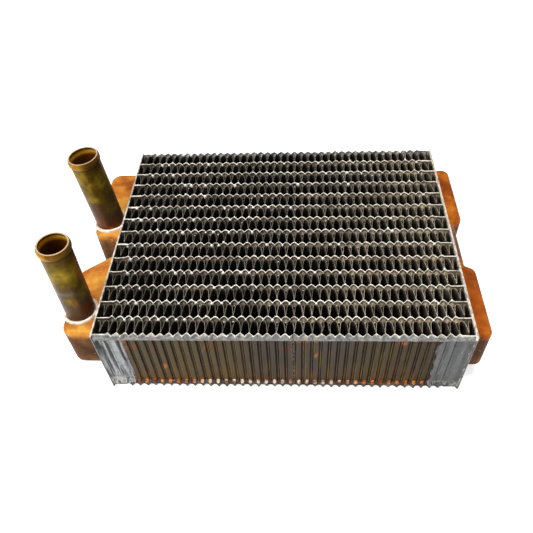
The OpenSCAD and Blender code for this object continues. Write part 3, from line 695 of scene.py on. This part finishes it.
def sideStrip(front):
    # a closed section at each x: lip, flare out to the band's straight edge, undercut, panel, and the same below
    flip = 1.0 if front else -1.0
    x = stations(grooveOffsets)
    phase, k = phaseAt(x)
    dx = phase * core["pitch"]
    gx = fromGroove(dx, front)
    ends = (x < firstPeak - 1.2) | (x > firstPeak + (core["peaks"] - 1) * core["pitch"] + 1.2)
    panel = np.where(ends, side["flat"], panelSkin(gx)) + 0.04 * ripple(x, 41, 4.0)
    flatness = np.where(ends, 1.0, ease((np.abs(gx) - 0.9) / 0.7))
    # painted shade for the pressed lines
    pressed = pressedAt(x, gx, ends)
    cut = side["undercut"][1] + (side["undercut"][0] - side["undercut"][1]) * flatness
    dimple = [np.where(ends, 0.0, ease((np.abs(gx) - reach) / 0.45)) for reach in (1.7, 1.15, 0.95, 1.1, 1.6)]
    parts = []
    for seed in (610, 640):
        s = flip * (waveAt(x, 7 if seed == 610 else 8, core["bandRoundness"]) + 0.08 * ripple(x, seed, 9.0))
        t = core["lipThick"] + 0.12 * ripple(x, seed + 2, 3.0) + blobAt(x, seed + 9, 0.8)
        drop = 0.2 + 0.18 * ripple(x, seed + 3, 2.6)
        outer = [(s - 0.34 * t, drop, 1.0, 0), (s - 0.5 * t, drop + 0.22, 1.0, 0), (s - 0.5 * t - 0.05, drop + 0.5, 0.6, 0)]
        for f in (0.3, 0.6, 0.85):
            y = (s - 0.5 * t) * (1 - f ** 0.9) - halfTube * f ** 0.9 + 0.08 * ripple(x + 31 * f, seed + 5, 1.3)
            outer.append((np.minimum(y, 1.0), 0.7 + (side["bandDepth"] - 0.7) * f, 0.2, 0))
        outer += [(-halfTube + 0.06 * ripple(x, seed + 6, 2.0) + 0.05, side["bandDepth"] + 0.1, 0.3, 0),
                  (-halfTube + 0.2, side["bandDepth"] + 0.42, 0.9 * (1 - dimple[0]), 0.8 * dimple[0]),
                  (-0.85 + 0 * x, side["bandDepth"] + 0.5 + 0.1 * cut, 0.9 * (1 - dimple[1]), dimple[1]),
                  (0.5 * (panel - 0.85), side["bandDepth"] + 0.55 + 0.5 * cut, 0.9 * (1 - dimple[2]), dimple[2]),
                  (panel - 0.05, side["bandDepth"] + 0.6 + cut, 0.0, dimple[3]),
                  (panel, side["bandDepth"] + 1.3 + cut, 0.0, 0.5 * dimple[4])]
        inner = [(s + 0.34 * t, drop, 1.0, 0), (s + 0.5 * t, drop + 0.22, 0.95, 0), (s + 0.5 * t + 0.04, drop + 0.75, 0.72, 0)]
        for f in (0.33, 0.67, 1.0):
            inner.append(((s + 0.5 * t) * (1 - ease(f)) + halfTube * ease(f), 1.0 + 2.5 * f, 0.4 - 0.4 * f, 0))
        parts.append((outer, inner, (s, drop - 0.04, 1.0, 0)))
    upper, lower = parts
    ringPoints, wet, orange, shade, lowerBandShade = [], [], [], [], []
    seq = [(upper[2], True)] + [(p, True) for p in upper[0]] + [((panel, coreTop / 2, 0.0, 0), True)]
    seq += [(p, False) for p in lower[0][::-1]] + [(lower[2], False)] + [(p, False) for p in lower[1]]
    seq += [(p, True) for p in upper[1][::-1]]
    y0 = seamMiddle(0) if front else seamMiddle(core["rows"])
    for (y, depth, w, o), isUp in seq:
        depth = depth + 0 * x
        z = coreTop - depth if isUp else depth
        ringPoints.append(np.stack([x, y0 + flip * (y + 0 * x), z], -1))
        dull = not isUp and side["bandDepth"] + 0.3 < depth.max() < side["bandDepth"] + 2.0
        wet.append((w + 0 * x) * (0.25 if dull else 1.0))
        orange.append((o + 0 * x) * (0.0 if isUp else 1.0))
        shade.append((0 * x + 1.0) * (isUp and side["bandDepth"] + 0.3 < depth.max() < side["bandDepth"] + 2.0))
        # painted shade mark for the lower band
        lowerBandShade.append((0 * x + 1.0) * (not isUp) * (1.0 if depth.max() < side["bandDepth"] + 0.2 else 1 - (o + 0 * x)))
    grid = np.stack(ringPoints, 1)
    wet, orange, shade, lowerBandShade = np.stack(wet, 1), np.stack(orange, 1), np.stack(shade, 1), np.stack(lowerBandShade, 1)
    m, n = grid.shape[:2]
    faces = quadsOf(m, n, False, True)
    column = np.tile(np.arange(n), m - 1)
    nOuter = len(upper[0])
    kind = ((column >= nOuter) & (column <= nOuter + 1)).astype(int)
    kind = np.where((column == nOuter - 1) | (column == nOuter + 2), 1, kind)
    cap = []
    for j in range(1, n // 2):
        cap.append([j, j + 1, n - j - 1, n - j])
        e = (m - 1) * n
        cap.append([e + j + 1, e + j, e + n - j, e + n - j - 1])
    faces = np.concatenate([faces, np.array(cap)])
    kind = np.concatenate([kind, np.zeros(len(cap), int)])
    groove = np.repeat((1 - flatness)[:, None], n, 1)
    z = grid[:, :, 2]
    marks = {"solder": wet, "orange": orange, "groove": groove, "shade": shade * 0.9, "lowerBandShade": lowerBandShade,
             "pressed": np.repeat(0.95 * pressed[:, None], n, 1),
             "high": ease((z - 38.0) / 6.0), "low": ease((6.4 - z) / 2.2) * 0.55}
    name = "frontStrip" if front else "rearStrip"
    node = "front_side_strip" if front else "rear_side_strip"
    makePiece(name, grid, faces, [bandSolder, panelStrip], [node], marks, kind, angle=42)


sideStrip(True)
sideStrip(False)
print("side strips ready")


coats = {"fillLeft": 0.55, "fillRight": 0.7, "thick": 0.3, "fillet": 2.2, "rightWide": 16.3}


def solderCoat(front, left):
    # height over the panel on a grid of x and z: the panel's grooves half filled, fillets to the lips and the
    # header, streaks down it and lumps near the bottom; closed by a flat back inside the strip
    node = f"{'front' if front else 'rear'}_{'left' if left else 'right'}_coat"
    lo, hi = [np.array(c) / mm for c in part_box(node)]
    us = np.linspace(0, 1, 76)
    vs = np.linspace(0, 1, 48)
    u, v = np.meshgrid(us, vs, indexing="ij")
    z = 3.3 + v * (coreTop - 6.6)
    ragged = 0.5 * ripple(z, 61 if left else 62, 4.0) + 0.25 * ripple(z, 63, 1.2)
    x = lo[0] + u * (hi[0] - lo[0] + ragged) if left else hi[0] - (1 - u) * (hi[0] - lo[0] + ragged)
    phase, k = phaseAt(x)
    dx = phase * core["pitch"]
    gx = fromGroove(dx, front)
    ends = (x < firstPeak - 1.2) | (x > firstPeak + (core["peaks"] - 1) * core["pitch"] + 1.2)
    panel = np.where(ends, side["flat"], panelSkin(gx))
    # the right coat is only a thin film over its inner third, where the panel shows through
    film = np.zeros_like(x) if left else ease((hi[0] - coats["rightWide"] + 1.3 * ripple(z, 68, 5.0) - x) / 0.5)
    fill = coats["fillLeft" if left else "fillRight"] * (1 - film) + film
    y = side["flat"] + (panel - side["flat"]) * fill - coats["thick"] * (1 - 0.85 * film)
    rough = 1.0 if left else 0.4
    y -= rough * (1 - film) * (0.18 * ripple(x, 64, 0.8) + 0.14 * ripple(x + z * 0.05, 65, 2.3))
    lumps = ease((13.0 - z) / 9.0) if left else ease((8.0 - z) / 6.0)
    y -= (1 - film) * (lumps * (0.45 * patches(x, z, 66, 1.6) + 0.25) + 0.06 * patches(x, z, 67, 1.2))
    toLip = np.minimum(z - 3.3, coreTop - 3.3 - z)
    y -= 1.5 * (1 - ease(toLip / coats["fillet"])) * (1 - film)
    sunk = film * (1 - ease((toLip - 1.9) / 0.7))
    y = y * (1 - sunk) + (panel + 0.15) * sunk
    toPlate = x - innerLeft if left else innerRight - x
    y -= 1.3 * (1 - ease(toPlate / 2.2))
    out = np.clip((1 - u if left else u) * 30, 0, 1)
    y = y * out + (panel + 0.1) * (1 - out)
    y = np.maximum(y, -halfTube + 0.02)
    y0, flip = (seamMiddle(0), 1.0) if front else (seamMiddle(core["rows"]), -1.0)
    skin = np.stack([x, y0 + flip * y, z], -1)
    rear = np.stack([x, y0 + flip * (panel + 0.25), z], -1)
    m, n = u.shape
    points = np.concatenate([skin.reshape(-1, 3), rear.reshape(-1, 3)])
    faces = quadsOf(m, n)
    rim = np.concatenate([np.arange(n), np.arange(1, m) * n + n - 1, (m - 1) * n + np.arange(n - 2, -1, -1),
                          np.arange(m - 2, 0, -1) * n])
    nextRim = np.roll(rim, -1)
    wallFaces = np.stack([rim, nextRim, nextRim + m * n, rim + m * n], -1)
    faces = np.concatenate([faces, faces[:, ::-1] + m * n, wallFaces])
    shade = np.where(ends, 0.0, np.exp(-((gx + side["line"]) / (0.3 if left else 0.42)) ** 4)) * (0.15 if left else 1.0)
    shade = shade * ease((z - 7.0) / 4.0) * ease((coreTop - 4.5 - z) / 2.0)
    # the pressed lines carry painted shade
    shown = {"lumps": lumps * (1 - film), "shade": shade * (1 - film), "pressed": 0.95 * pressedAt(x, gx, ends),
             "groove": np.where(ends, 0.0, 1 - ease((np.abs(gx) - 0.9) / 0.7)),
             "high": ease((z - 38.0) / 6.0), "low": ease((6.4 - z) / 2.2) * 0.55}
    marks = {key: np.tile(value.ravel(), 2) for key, value in shown.items()}
    thin = (film[:-1, :-1] + film[1:, 1:]).ravel() > 1.0
    kind = np.concatenate([thin, thin, np.zeros(len(wallFaces), bool)]).astype(int)
    makePiece("coat_" + node, points, faces, [streakedCoat if left else smoothCoat, panelStrip], [node],
              marks, kind, angle=60)


for isFront in (True, False):
    for isLeft in (True, False):
        solderCoat(isFront, isLeft)
print("solder coats ready")


def solderRun(name, path, size, height, seed, material, nodes=(), flat=None, lumps=0.25, out=(0, 0, 1), extra=None):
    # a closed bead: half a round section, size wide and height tall, carried round the path and made lumpy
    path = np.asarray(path, float)
    step = np.roll(path, -1, 0) - np.roll(path, 1, 0)
    step /= np.linalg.norm(step, axis=1)[:, None] + 1e-9
    up = np.asarray(out, float) + 0 * path
    across = np.cross(step, up)
    across /= np.linalg.norm(across, axis=1)[:, None] + 1e-9
    s = np.concatenate([[0], np.cumsum(np.linalg.norm(np.diff(path, axis=0), axis=1))])
    swell = 1 + lumps * ripple(s, seed, 3.2) + 0.5 * lumps * ripple(s, seed + 1, 1.1)
    if extra is not None:
        swell = swell + extra
    a = np.linspace(0, np.pi, 9)
    ring = [path + across * (np.cos(t) * size * swell)[:, None] + up * (np.sin(t) * height * swell - 0.05)[:, None] for t in a]
    ring = np.stack(ring, 1)
    m, n = ring.shape[:2]
    return makePiece(name, ring, quadsOf(m, n, True, True), [material], list(nodes), angle=60)


def rectPath(corners, spacing):  # points along a closed outline, evenly spaced
    corners = np.asarray(corners, float)
    out = []
    for a, b in zip(corners, np.roll(corners, -1, 0)):
        count = max(2, int(np.linalg.norm(b - a) / spacing))
        out.append(a + (b - a) * np.linspace(0, 1, count, endpoint=False)[:, None])
    return np.concatenate(out)


def plateSolder(left):
    # solder along the plate's four edges, swollen where each seam meets it
    x = (leftPlate[0][0] + 0.4) if left else (rightPlate[1][0] - 0.45)
    half, lowZ, topZ = coreWide / 2 - 0.42, 0.32, coreTop - 0.36
    path = rectPath([(x, -half, lowZ), (x, half, lowZ), (x, half, topZ), (x, -half, topZ)], 0.8)
    centre = np.array([x, 0.0, coreTop / 2])
    nearest = np.min(np.abs(path[:, 1][:, None] - np.array([seamMiddle(i) for i in range(core["rows"] + 1)])[None, :]), 1)
    swell = (0.2 if left else 0.35) * np.exp(-(nearest / 1.2) ** 2) * (np.abs(path[:, 2] - coreTop / 2) > 20)
    s = np.arange(len(path)) * 0.8
    wide = (0.26 if left else 0.6) * (1 + 0.42 * ripple(s, 88, 3.0) + 0.3 * ripple(s, 89, 1.2)) + swell
    a = np.linspace(0, 2 * np.pi, 10, endpoint=False)
    side_ = np.abs(path[:, 2] - coreTop / 2) > coreTop / 2 - 0.6
    outward = np.where(side_[:, None], np.array([[0, 0, 1.0]]) * np.sign(path[:, 2:3] - coreTop / 2),
                       np.array([[0, 1.0, 0]]) * np.sign(path[:, 1:2]))
    inward = 1.0 if left else -1.0
    ring = np.stack([path + np.array([[inward, 0, 0]]) * (np.cos(t) * wide * 0.8 + (0.1 if left else 0.2))[:, None]
                     + outward * (np.sin(t) * 0.36) for t in a], 1)
    m, n = ring.shape[:2]
    makePiece("leftPlateSolder" if left else "rightPlateSolder", ring, quadsOf(m, n, True, True),
              [edgeSolder], [], angle=70)


plateSolder(True)
plateSolder(False)
for name, look in (("left_header", leftPlateLook), ("right_header", rightPlateLook)):
    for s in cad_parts[name].material_slots:
        s.material = look
print("header plates ready")


beads = {"scoop": 0.58, "valley": 0.5, "drip": 0.95, "depth": 2.7}


def dropsOn(name, spots, stretch, material):
    # each drop is a low sphere of 6 by 4 faces, flattened across the row and drawn out in height
    spots = np.array(spots)
    a = np.linspace(0, 2 * np.pi, 6, endpoint=False)
    b = np.linspace(0, np.pi, 5)
    ball = np.stack([np.stack([np.sin(t) * np.cos(a), np.sin(t) * np.sin(a) * 0.6, np.cos(t) * stretch + 0 * a], -1)
                     for t in b], 0)
    points = (spots[:, None, None, :3] + ball[None] * spots[:, 3][:, None, None, None]).reshape(-1, 3)
    one = quadsOf(5, 6, False, True)
    quads = (one[None] + (np.arange(len(spots)) * 30)[:, None, None]).reshape(-1, 4)
    makePiece(name, points, quads, [material], [], angle=80)


def cellBeads():
    # drops of solder at the foot of the scoops, standing in partly for the scoops' highlights, more of them towards the
    # far end where the light falls, and white drips at the seams
    r = np.random.default_rng(21)
    scoops, drips = [], []
    for i in range(1, core["rows"] + 1):
        for k in range(core["peaks"]):
            if r.uniform() < 0.05 + 0.85 * k / core["peaks"]:
                scoops.append((firstPeak + k * core["pitch"] + r.normal(0, 0.25), seamMiddle(i) - halfTube + 0.05,
                               coreTop - beads["depth"] + r.normal(0, 0.3), beads["scoop"] * r.uniform(0.5, 1.15)))
            if r.uniform() < 0.2:
                scoops.append((firstPeak + (k - 0.5) * core["pitch"] + r.normal(0, 0.2), seamMiddle(i) - 1.25,
                               coreTop - 0.8 + r.normal(0, 0.2), beads["valley"] * r.uniform(0.5, 1.2)))
            if r.uniform() < (0.34 if k < 14 else 0.12):
                drips.append((firstPeak + (k - 0.5) * core["pitch"] + r.normal(0, 0.3), seamMiddle(i) - 1.25 + r.normal(0, 0.2),
                              coreTop - 0.9, beads["drip"] * r.uniform(0.6, 1.3)))
            if r.uniform() < (0.34 if k < 14 else 0.12):
                drips.append((firstPeak + k * core["pitch"] + r.normal(0, 0.2), seamMiddle(i) + 1.1 + r.normal(0, 0.12),
                              coreTop - 0.55, 0.7 * beads["drip"] * r.uniform(0.6, 1.2)))
    # the scoop drops are partly a painted highlight
    dropsOn("cellSolderAndHighlights", scoops, 1.1, creamSolder)
    dropsOn("seamDrips", drips, 1.6, whiteSolder)


cellBeads()
print("cell solder ready")


def roundedOutline(corners, steps, straight):
    # corners are (x, y, radius): each corner is an arc of steps, each side is split into straight parts
    pts = []
    n = len(corners)
    arcs = []
    for i, (cx, cy, r) in enumerate(corners):
        p = np.array([cx, cy])
        a = np.array(corners[i - 1][:2]) - p
        b = np.array(corners[(i + 1) % n][:2]) - p
        a, b = a / np.linalg.norm(a), b / np.linalg.norm(b)
        half = np.arccos(np.clip(a @ b, -1, 1)) / 2
        if r <= 0:
            arcs.append(np.array([p]))
            continue
        mid = (a + b) / np.linalg.norm(a + b)
        c = p + mid * r / np.sin(half)
        t1, t2 = p + a * r / np.tan(half), p + b * r / np.tan(half)
        a1 = np.arctan2(*(t1 - c)[::-1])
        turn = (np.arctan2(*(t2 - c)[::-1]) - a1 + np.pi) % (2 * np.pi) - np.pi
        w = a1 + turn * np.linspace(0, 1, steps + 1)
        arcs.append(c + r * np.stack([np.cos(w), np.sin(w)], -1))
    for i in range(n):
        pts.append(arcs[i])
        p, q = arcs[i][-1], arcs[(i + 1) % n][0]
        pts.append(p + (q - p) * np.linspace(0, 1, straight + 1)[1:-1, None])
    return np.concatenate(pts)


tanks = {"wall": 0.8, "edge": 3.0, "corner": 6.6, "crown": 0.3, "rearLess": 0.5, "flange": 2.6, "solderWide": 1.6}
frontBox = [np.array(c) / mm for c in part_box("front_tank")]
rearBox = [np.array(c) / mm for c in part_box("rear_tank")]
returnBox = [np.array(c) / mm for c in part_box("return_tank")]
tankLow, tankHigh = frontBox[0][2] + tanks["flange"], frontBox[1][2] - tanks["flange"]


def tankShell(outlineAt, low, high, edge, seed, crown, toWall):
    # rings up the wall: the outline is drawn in by w = e (1 - cos a) while the height runs e (1 - sin a) from the end
    a = np.linspace(0, np.pi / 2, 6)
    levels = [(edge * (1 - np.sin(t)), low + edge * (1 - np.cos(t)), 1.0, 0.0) for t in a]
    levels += [(0.0, low + edge + (high - low - 2 * edge) * f, 1.0, 0.0) for f in (0.25, 0.5, 0.75)]
    levels += [(edge * (1 - np.cos(t)), high - edge * (1 - np.sin(t)), 1.0, 0.0) for t in a]
    rings = []
    for share, lift in ((0.03, 1.0), (0.35, 0.85), (0.7, 0.45), (0.9, 0.12)):
        rings.append((edge, low, share, -lift * crown))
    rings += levels
    for share, lift in ((0.9, 0.12), (0.7, 0.45), (0.35, 0.85), (0.03, 1.0)):
        rings.append((edge, high, share, lift * crown))
    out = []
    for w, z, share, lift in rings:
        line = outlineAt(w)
        centre = (line.min(0) + line.max(0)) / 2
        line = (np.stack([rightFace + (line[:, 0] - rightFace) * share, line[:, 1]], 1) if toWall
                else centre + (line - centre) * share)
        out.append(np.concatenate([line, np.full((len(line), 1), z + lift)], 1))
    grid = np.stack(out, 0)
    x, y, z = grid[..., 0], grid[..., 1], grid[..., 2]
    dent = 0.1 * patches(x + z, y, seed, 9.0) + 0.05 * patches(y, z, seed + 1, 5.0)
    centre = grid.reshape(-1, 3).mean(0)
    way = grid - centre
    way /= np.linalg.norm(way, axis=-1, keepdims=True)
    return grid + way * dent[..., None]


def tankPiece(name, outlineAt, low, high, node, flangeBox, seed, toWall=False):
    # a drawn shell with closed top and bottom, and its thin flange against the header plate
    grid = tankShell(outlineAt, low, high, tanks["edge"], seed, tanks["crown"], toWall)
    m, n = grid.shape[:2]
    faces = quadsOf(m, n, False, True)
    points = grid.reshape(-1, 3)
    lo, hi = flangeBox
    xs = (lo[0], hi[0])
    corners = rectPath([(lo[1], lo[2]), (hi[1], lo[2]), (hi[1], hi[2]), (lo[1], hi[2])], 4.0)
    mid = np.array([(lo[1] + hi[1]) / 2, (lo[2] + hi[2]) / 2])
    rings = []
    for f, w in ((0.0, 30.0), (0.0, 0.0), (0.55, 0.0), (1.0, 0.3), (1.0, 30.0)):
        size = np.array([(hi[1] - lo[1]) / 2, (hi[2] - lo[2]) / 2])
        keep = (size - min(w, size.min() * 0.6)) / size
        p = mid + (corners - mid) * keep
        rings.append(np.stack([np.full(len(p), xs[0] + (xs[1] - xs[0]) * f), p[:, 0], p[:, 1]], -1))
    ringGrid = np.stack(rings, 0)
    start = len(points)
    faces = np.concatenate([faces, quadsOf(5, len(corners), True, True) + start])
    points = np.concatenate([points, ringGrid.reshape(-1, 3)])
    return makePiece(name, points, faces, [tankCopper], [node], angle=45)


def closeEnds(piece):  # fills the two small holes left at the middle of the top and bottom
    work = bmesh.new()
    work.from_mesh(piece.data)
    rim = [e for e in work.edges if e.is_boundary]
    bmesh.ops.holes_fill(work, edges=rim, sides=0)
    bmesh.ops.recalc_face_normals(work, faces=work.faces)
    work.to_mesh(piece.data)
    work.free()
    piece.data.shade_smooth()
    piece.data.set_sharp_from_angle(angle=np.radians(45))


leftFace, rightFace = leftPlate[0][0], rightPlate[1][0]
deepPipe, slantPipe, draftPipe = 22.0, 17.5, 3.0


def frontTankOutline(w):
    start, end = frontBox[0][1] + tanks["flange"], frontBox[1][1] - tanks["flange"]
    slope = slantPipe / deepPipe
    away = w * np.hypot(1, slope)
    d = deepPipe - w
    back = end - away
    r = tanks["corner"] - w
    return roundedOutline([(leftFace + 0.1, start + w, 0), (leftFace - d, start + w, r),
                           (leftFace - d, back - slope * d, r), (leftFace + 0.1, back, 0)], 8, 10)


def rearTankOutline(w):
    start, end = rearBox[0][1] + tanks["flange"], rearBox[1][1] - tanks["flange"]
    slope = draftPipe / deepPipe
    away = w * np.hypot(1, slope)
    d = deepPipe - tanks["rearLess"] - w
    r = tanks["corner"] - w
    return roundedOutline([(leftFace + 0.1, start + away, 0), (leftFace - d, start + away + slope * d, r),
                           (leftFace - d, end - w, r), (leftFace + 0.1, end - w, 0)], 8, 10)


lobes = {"depth": 12.3, "bridge": 6.9, "gap": 17.0, "slant": 3.0, "shift": 1.2, "corner": 5.0}


def returnTankOutline(w):
    start, end = returnBox[0][1] + tanks["flange"], returnBox[1][1] - tanks["flange"]
    slope = lobes["slant"] / (lobes["depth"] - lobes["bridge"])
    away = w * np.hypot(1, slope)
    foot = lobes["gap"] + away - slope * w
    top = foot + lobes["slant"]
    r = lobes["corner"] - w
    d, b, s = lobes["depth"] - w, lobes["bridge"] - w, lobes["shift"]
    return roundedOutline([(rightFace - 0.1, start + w, 0), (rightFace + d, start + w, r), (rightFace + d, -top - s, r),
                           (rightFace + b, -foot - s, 1.2), (rightFace + b, foot - s, 1.2), (rightFace + d, top - s, r),
                           (rightFace + d, end - w, r), (rightFace - 0.1, end - w, 0)], 8, 10)


def flangeOf(box, left):
    lo, hi = box[0].copy(), box[1].copy()
    if left:
        lo[0], hi[0] = leftFace - tanks["wall"], leftFace
    else:
        lo[0], hi[0] = rightFace, rightFace + tanks["wall"]
    return lo, hi


closeEnds(tankPiece("frontTank", frontTankOutline, tankLow, tankHigh, "front_tank", flangeOf(frontBox, True), 31))
closeEnds(tankPiece("rearTank", rearTankOutline, tankLow, tankHigh, "rear_tank", flangeOf(rearBox, True), 33))
closeEnds(tankPiece("returnTank", returnTankOutline, tankLow, tankHigh, "return_tank", flangeOf(returnBox, False), 35, True))
print("tanks ready")


def tankRun(name, box, left, node, seed, material, extra=None):
    x = leftFace if left else rightFace
    w = tanks["solderWide"] / 2 - 0.1
    lo, hi = box
    path = rectPath([(x, lo[1] - w, lo[2] - w), (x, hi[1] + w, lo[2] - w), (x, hi[1] + w, hi[2] + w), (x, lo[1] - w, hi[2] + w)], 1.0)
    grow = extra(path) if extra else None
    solderRun(name, path, tanks["solderWide"] / 2 + 0.15, 1.05, seed, material, [node], out=(-1 if left else 1, 0, 0), extra=grow)


tankRun("frontTankSolder", frontBox, True, "front_tank_solder", 71, greySolder)
tankRun("rearTankSolder", rearBox, True, "rear_tank_solder", 73, greySolder)
tankRun("returnTankSolder", returnBox, False, "return_tank_solder", 75, darkSolder,
        lambda p: 0.8 * ease((-60.0 - p[:, 1]) / 8.0))
print("tank solder ready")


pipes = {"outer": (16.2, 17.4), "long": (53.8, 52.0), "lean": (1.5, -4.0), "out": (13.5, 12.2), "along": (15.3, 14.5),
         "wall": 0.9, "into": 3.0, "bead": 0.7, "beadWide": 4.4}


def hosePipe(front):
    # the wall's outline is a bulge of bead * sin(a) over the bead's width under the rim; it is turned round the axis
    which = 0 if front else 1
    lean = np.radians(pipes["lean"][which])
    foot = np.array([leftFace - pipes["out"][which],
                     (frontBox, rearBox)[which][0][1] + tanks["flange"] + pipes["along"][which], tankHigh])
    r, end, bw = pipes["outer"][which] / 2, pipes["long"][which], pipes["beadWide"]
    h = np.concatenate([np.linspace(-pipes["into"], end - bw - 1.2, 24), end - bw - np.array([0.7, 0.45, 0.3, 0.15]), end - bw + bw * (0.5 - 0.5 * np.cos(np.linspace(0.12, np.pi, 14)))])
    bulge = np.clip((h - (end - bw)) / bw, 0, 1)
    out = r + pipes["bead"] * np.sin(np.pi * bulge) ** 0.8 - 0.12 * np.exp(-((h - (end - bw) + 0.35) / 0.35) ** 2)
    inn = r - pipes["wall"] + pipes["bead"] * 0.9 * np.sin(np.pi * np.clip(bulge * 1.0, 0, 1)) ** 1.2
    rimH = np.array([end + 0.16, end + 0.22, end + 0.16])
    rimR = np.array([r - 0.12, r - 0.45, r - 0.78])
    radius = np.concatenate([out, rimR, inn[::-1]])
    height = np.concatenate([h, rimH - 0.22, h[::-1]])
    a = np.linspace(0, 2 * np.pi, 72, endpoint=False)
    n = len(h)
    oval = 1 + 0.006 * np.cos(2 * (a - 0.6))
    dent = 0.03 * patches(a[:, None] * 8.0 + 0 * height, height[None, :] + 0 * a[:, None], 81 if front else 83, 5.0)
    rad = radius[None, :] * oval[:, None] + dent
    x, y = rad * np.cos(a)[:, None], rad * np.sin(a)[:, None]
    z = np.repeat(height[None, :], len(a), 0)
    c, s = np.cos(lean), np.sin(lean)
    grid = np.stack([foot[0] + c * x + s * z, foot[1] + y, foot[2] - s * x + c * z], -1)
    mid = len(h)
    idx = np.arange(len(height))
    rim = np.exp(-((idx - (mid + 1)) / 0.8) ** 2)
    bead = np.where(idx < mid, np.clip(bulge[np.minimum(idx, mid - 1)] * 4, 0, 1), 0)
    # painted shade for the crease under the bead
    creaseShade = np.where(idx < mid, np.exp(-((height - (end - bw) + 0.3) / 0.3) ** 2), 0)
    inside = (idx > mid + 2) * 1.0
    # painted highlight band on the inner wall below the mouth
    innerLitBand = np.where(idx > mid + 2, np.exp(-((height - (end - bw * 0.55)) / 1.0) ** 2), 0)
    one = np.ones((len(a), 1))
    sm = np.exp(-((z - 23.5) / 1.3) ** 4) * ease(2.5 * np.cos(a[:, None] + 2.2) - 0.6) * (0.9 if front else 0.0)
    # painted shade down the side towards the core and the far left edge
    sideShade = np.maximum(0.8 * ease((np.cos(a + 0.25)[:, None] + 0.15) / 0.9), 0.5 * ease((np.cos(a - 2.9)[:, None] - 0.7) / 0.3))
    sideShade = sideShade * (idx < mid) * ease((z - 5.0) / 8.0 - 4.2)
    marks = {"paintedShadeSides": sideShade, "rim": one * rim, "bead": one * bead, "inside": one * inside * 0.9, "smear": sm * (idx < mid),
             "creaseShade": one * creaseShade * 0.85, "innerLitBand": one * innerLitBand}
    m, k = grid.shape[:2]
    makePiece("frontPipe" if front else "rearPipe", grid, quadsOf(m, k, True, True), [pipeBrass],
              ["front_pipe" if front else "rear_pipe"], marks, angle=55)
    t = np.linspace(0, 2 * np.pi, 90, endpoint=False)
    reach = r + 0.75
    ring = np.stack([np.maximum(foot[0] + reach * np.cos(t), leftFace - deepPipe + 1.5), foot[1] + reach * np.sin(t),
                     np.full(90, tankHigh)], -1)
    solderRun("frontPipeSolder" if front else "rearPipeSolder", ring, 1.15, 1.55, 91 if front else 93, footSolder,
              ["front_pipe_solder" if front else "rear_pipe_solder"], lumps=0.12)


hosePipe(True)
hosePipe(False)
print("pipes ready")


# ---- studio

placeCamera()
scene = bpy.context.scene
scene.view_settings.view_transform = "Standard"
world = bpy.data.worlds.new("studioSky")
scene.world = world
world.use_nodes = True
background = world.node_tree.nodes["Background"]
background.inputs[0].default_value = (1, 1, 1, 1)
background.inputs[1].default_value = studio["sky"]
areaLight("keyLight", studio["keyPlace"], studio["key"], studio["keySize"])
areaLight("topLight", studio["topPlace"], studio["top"], 0.5)
areaLight("fillLight", studio["fillPlace"], studio["fill"], 0.8)

floorMesh = bpy.data.meshes.new("floor")
floorMesh.from_pydata([(-3, -3, 0), (3, -3, 0), (3, 3, 0), (-3, 3, 0)], [], [(0, 1, 2, 3)])
floor = bpy.data.objects.new("floor", floorMesh)
scene.collection.objects.link(floor)
floor.location = (0, 0, -0.0002)
paper, paperTree, paperShader, paperPlace = startMaterial("floorPaper", 0.0, 0.0)
paperShader.inputs["Base Color"].default_value = (studio["floor"],) * 3 + (1,)
paperShader.inputs["Roughness"].default_value = 0.9
paperShader.inputs["Emission Color"].default_value = (1, 1, 1, 1)
paperShader.inputs["Emission Strength"].default_value = studio["floorGlow"]
floorMesh.materials.append(paper)

print("studio ready")
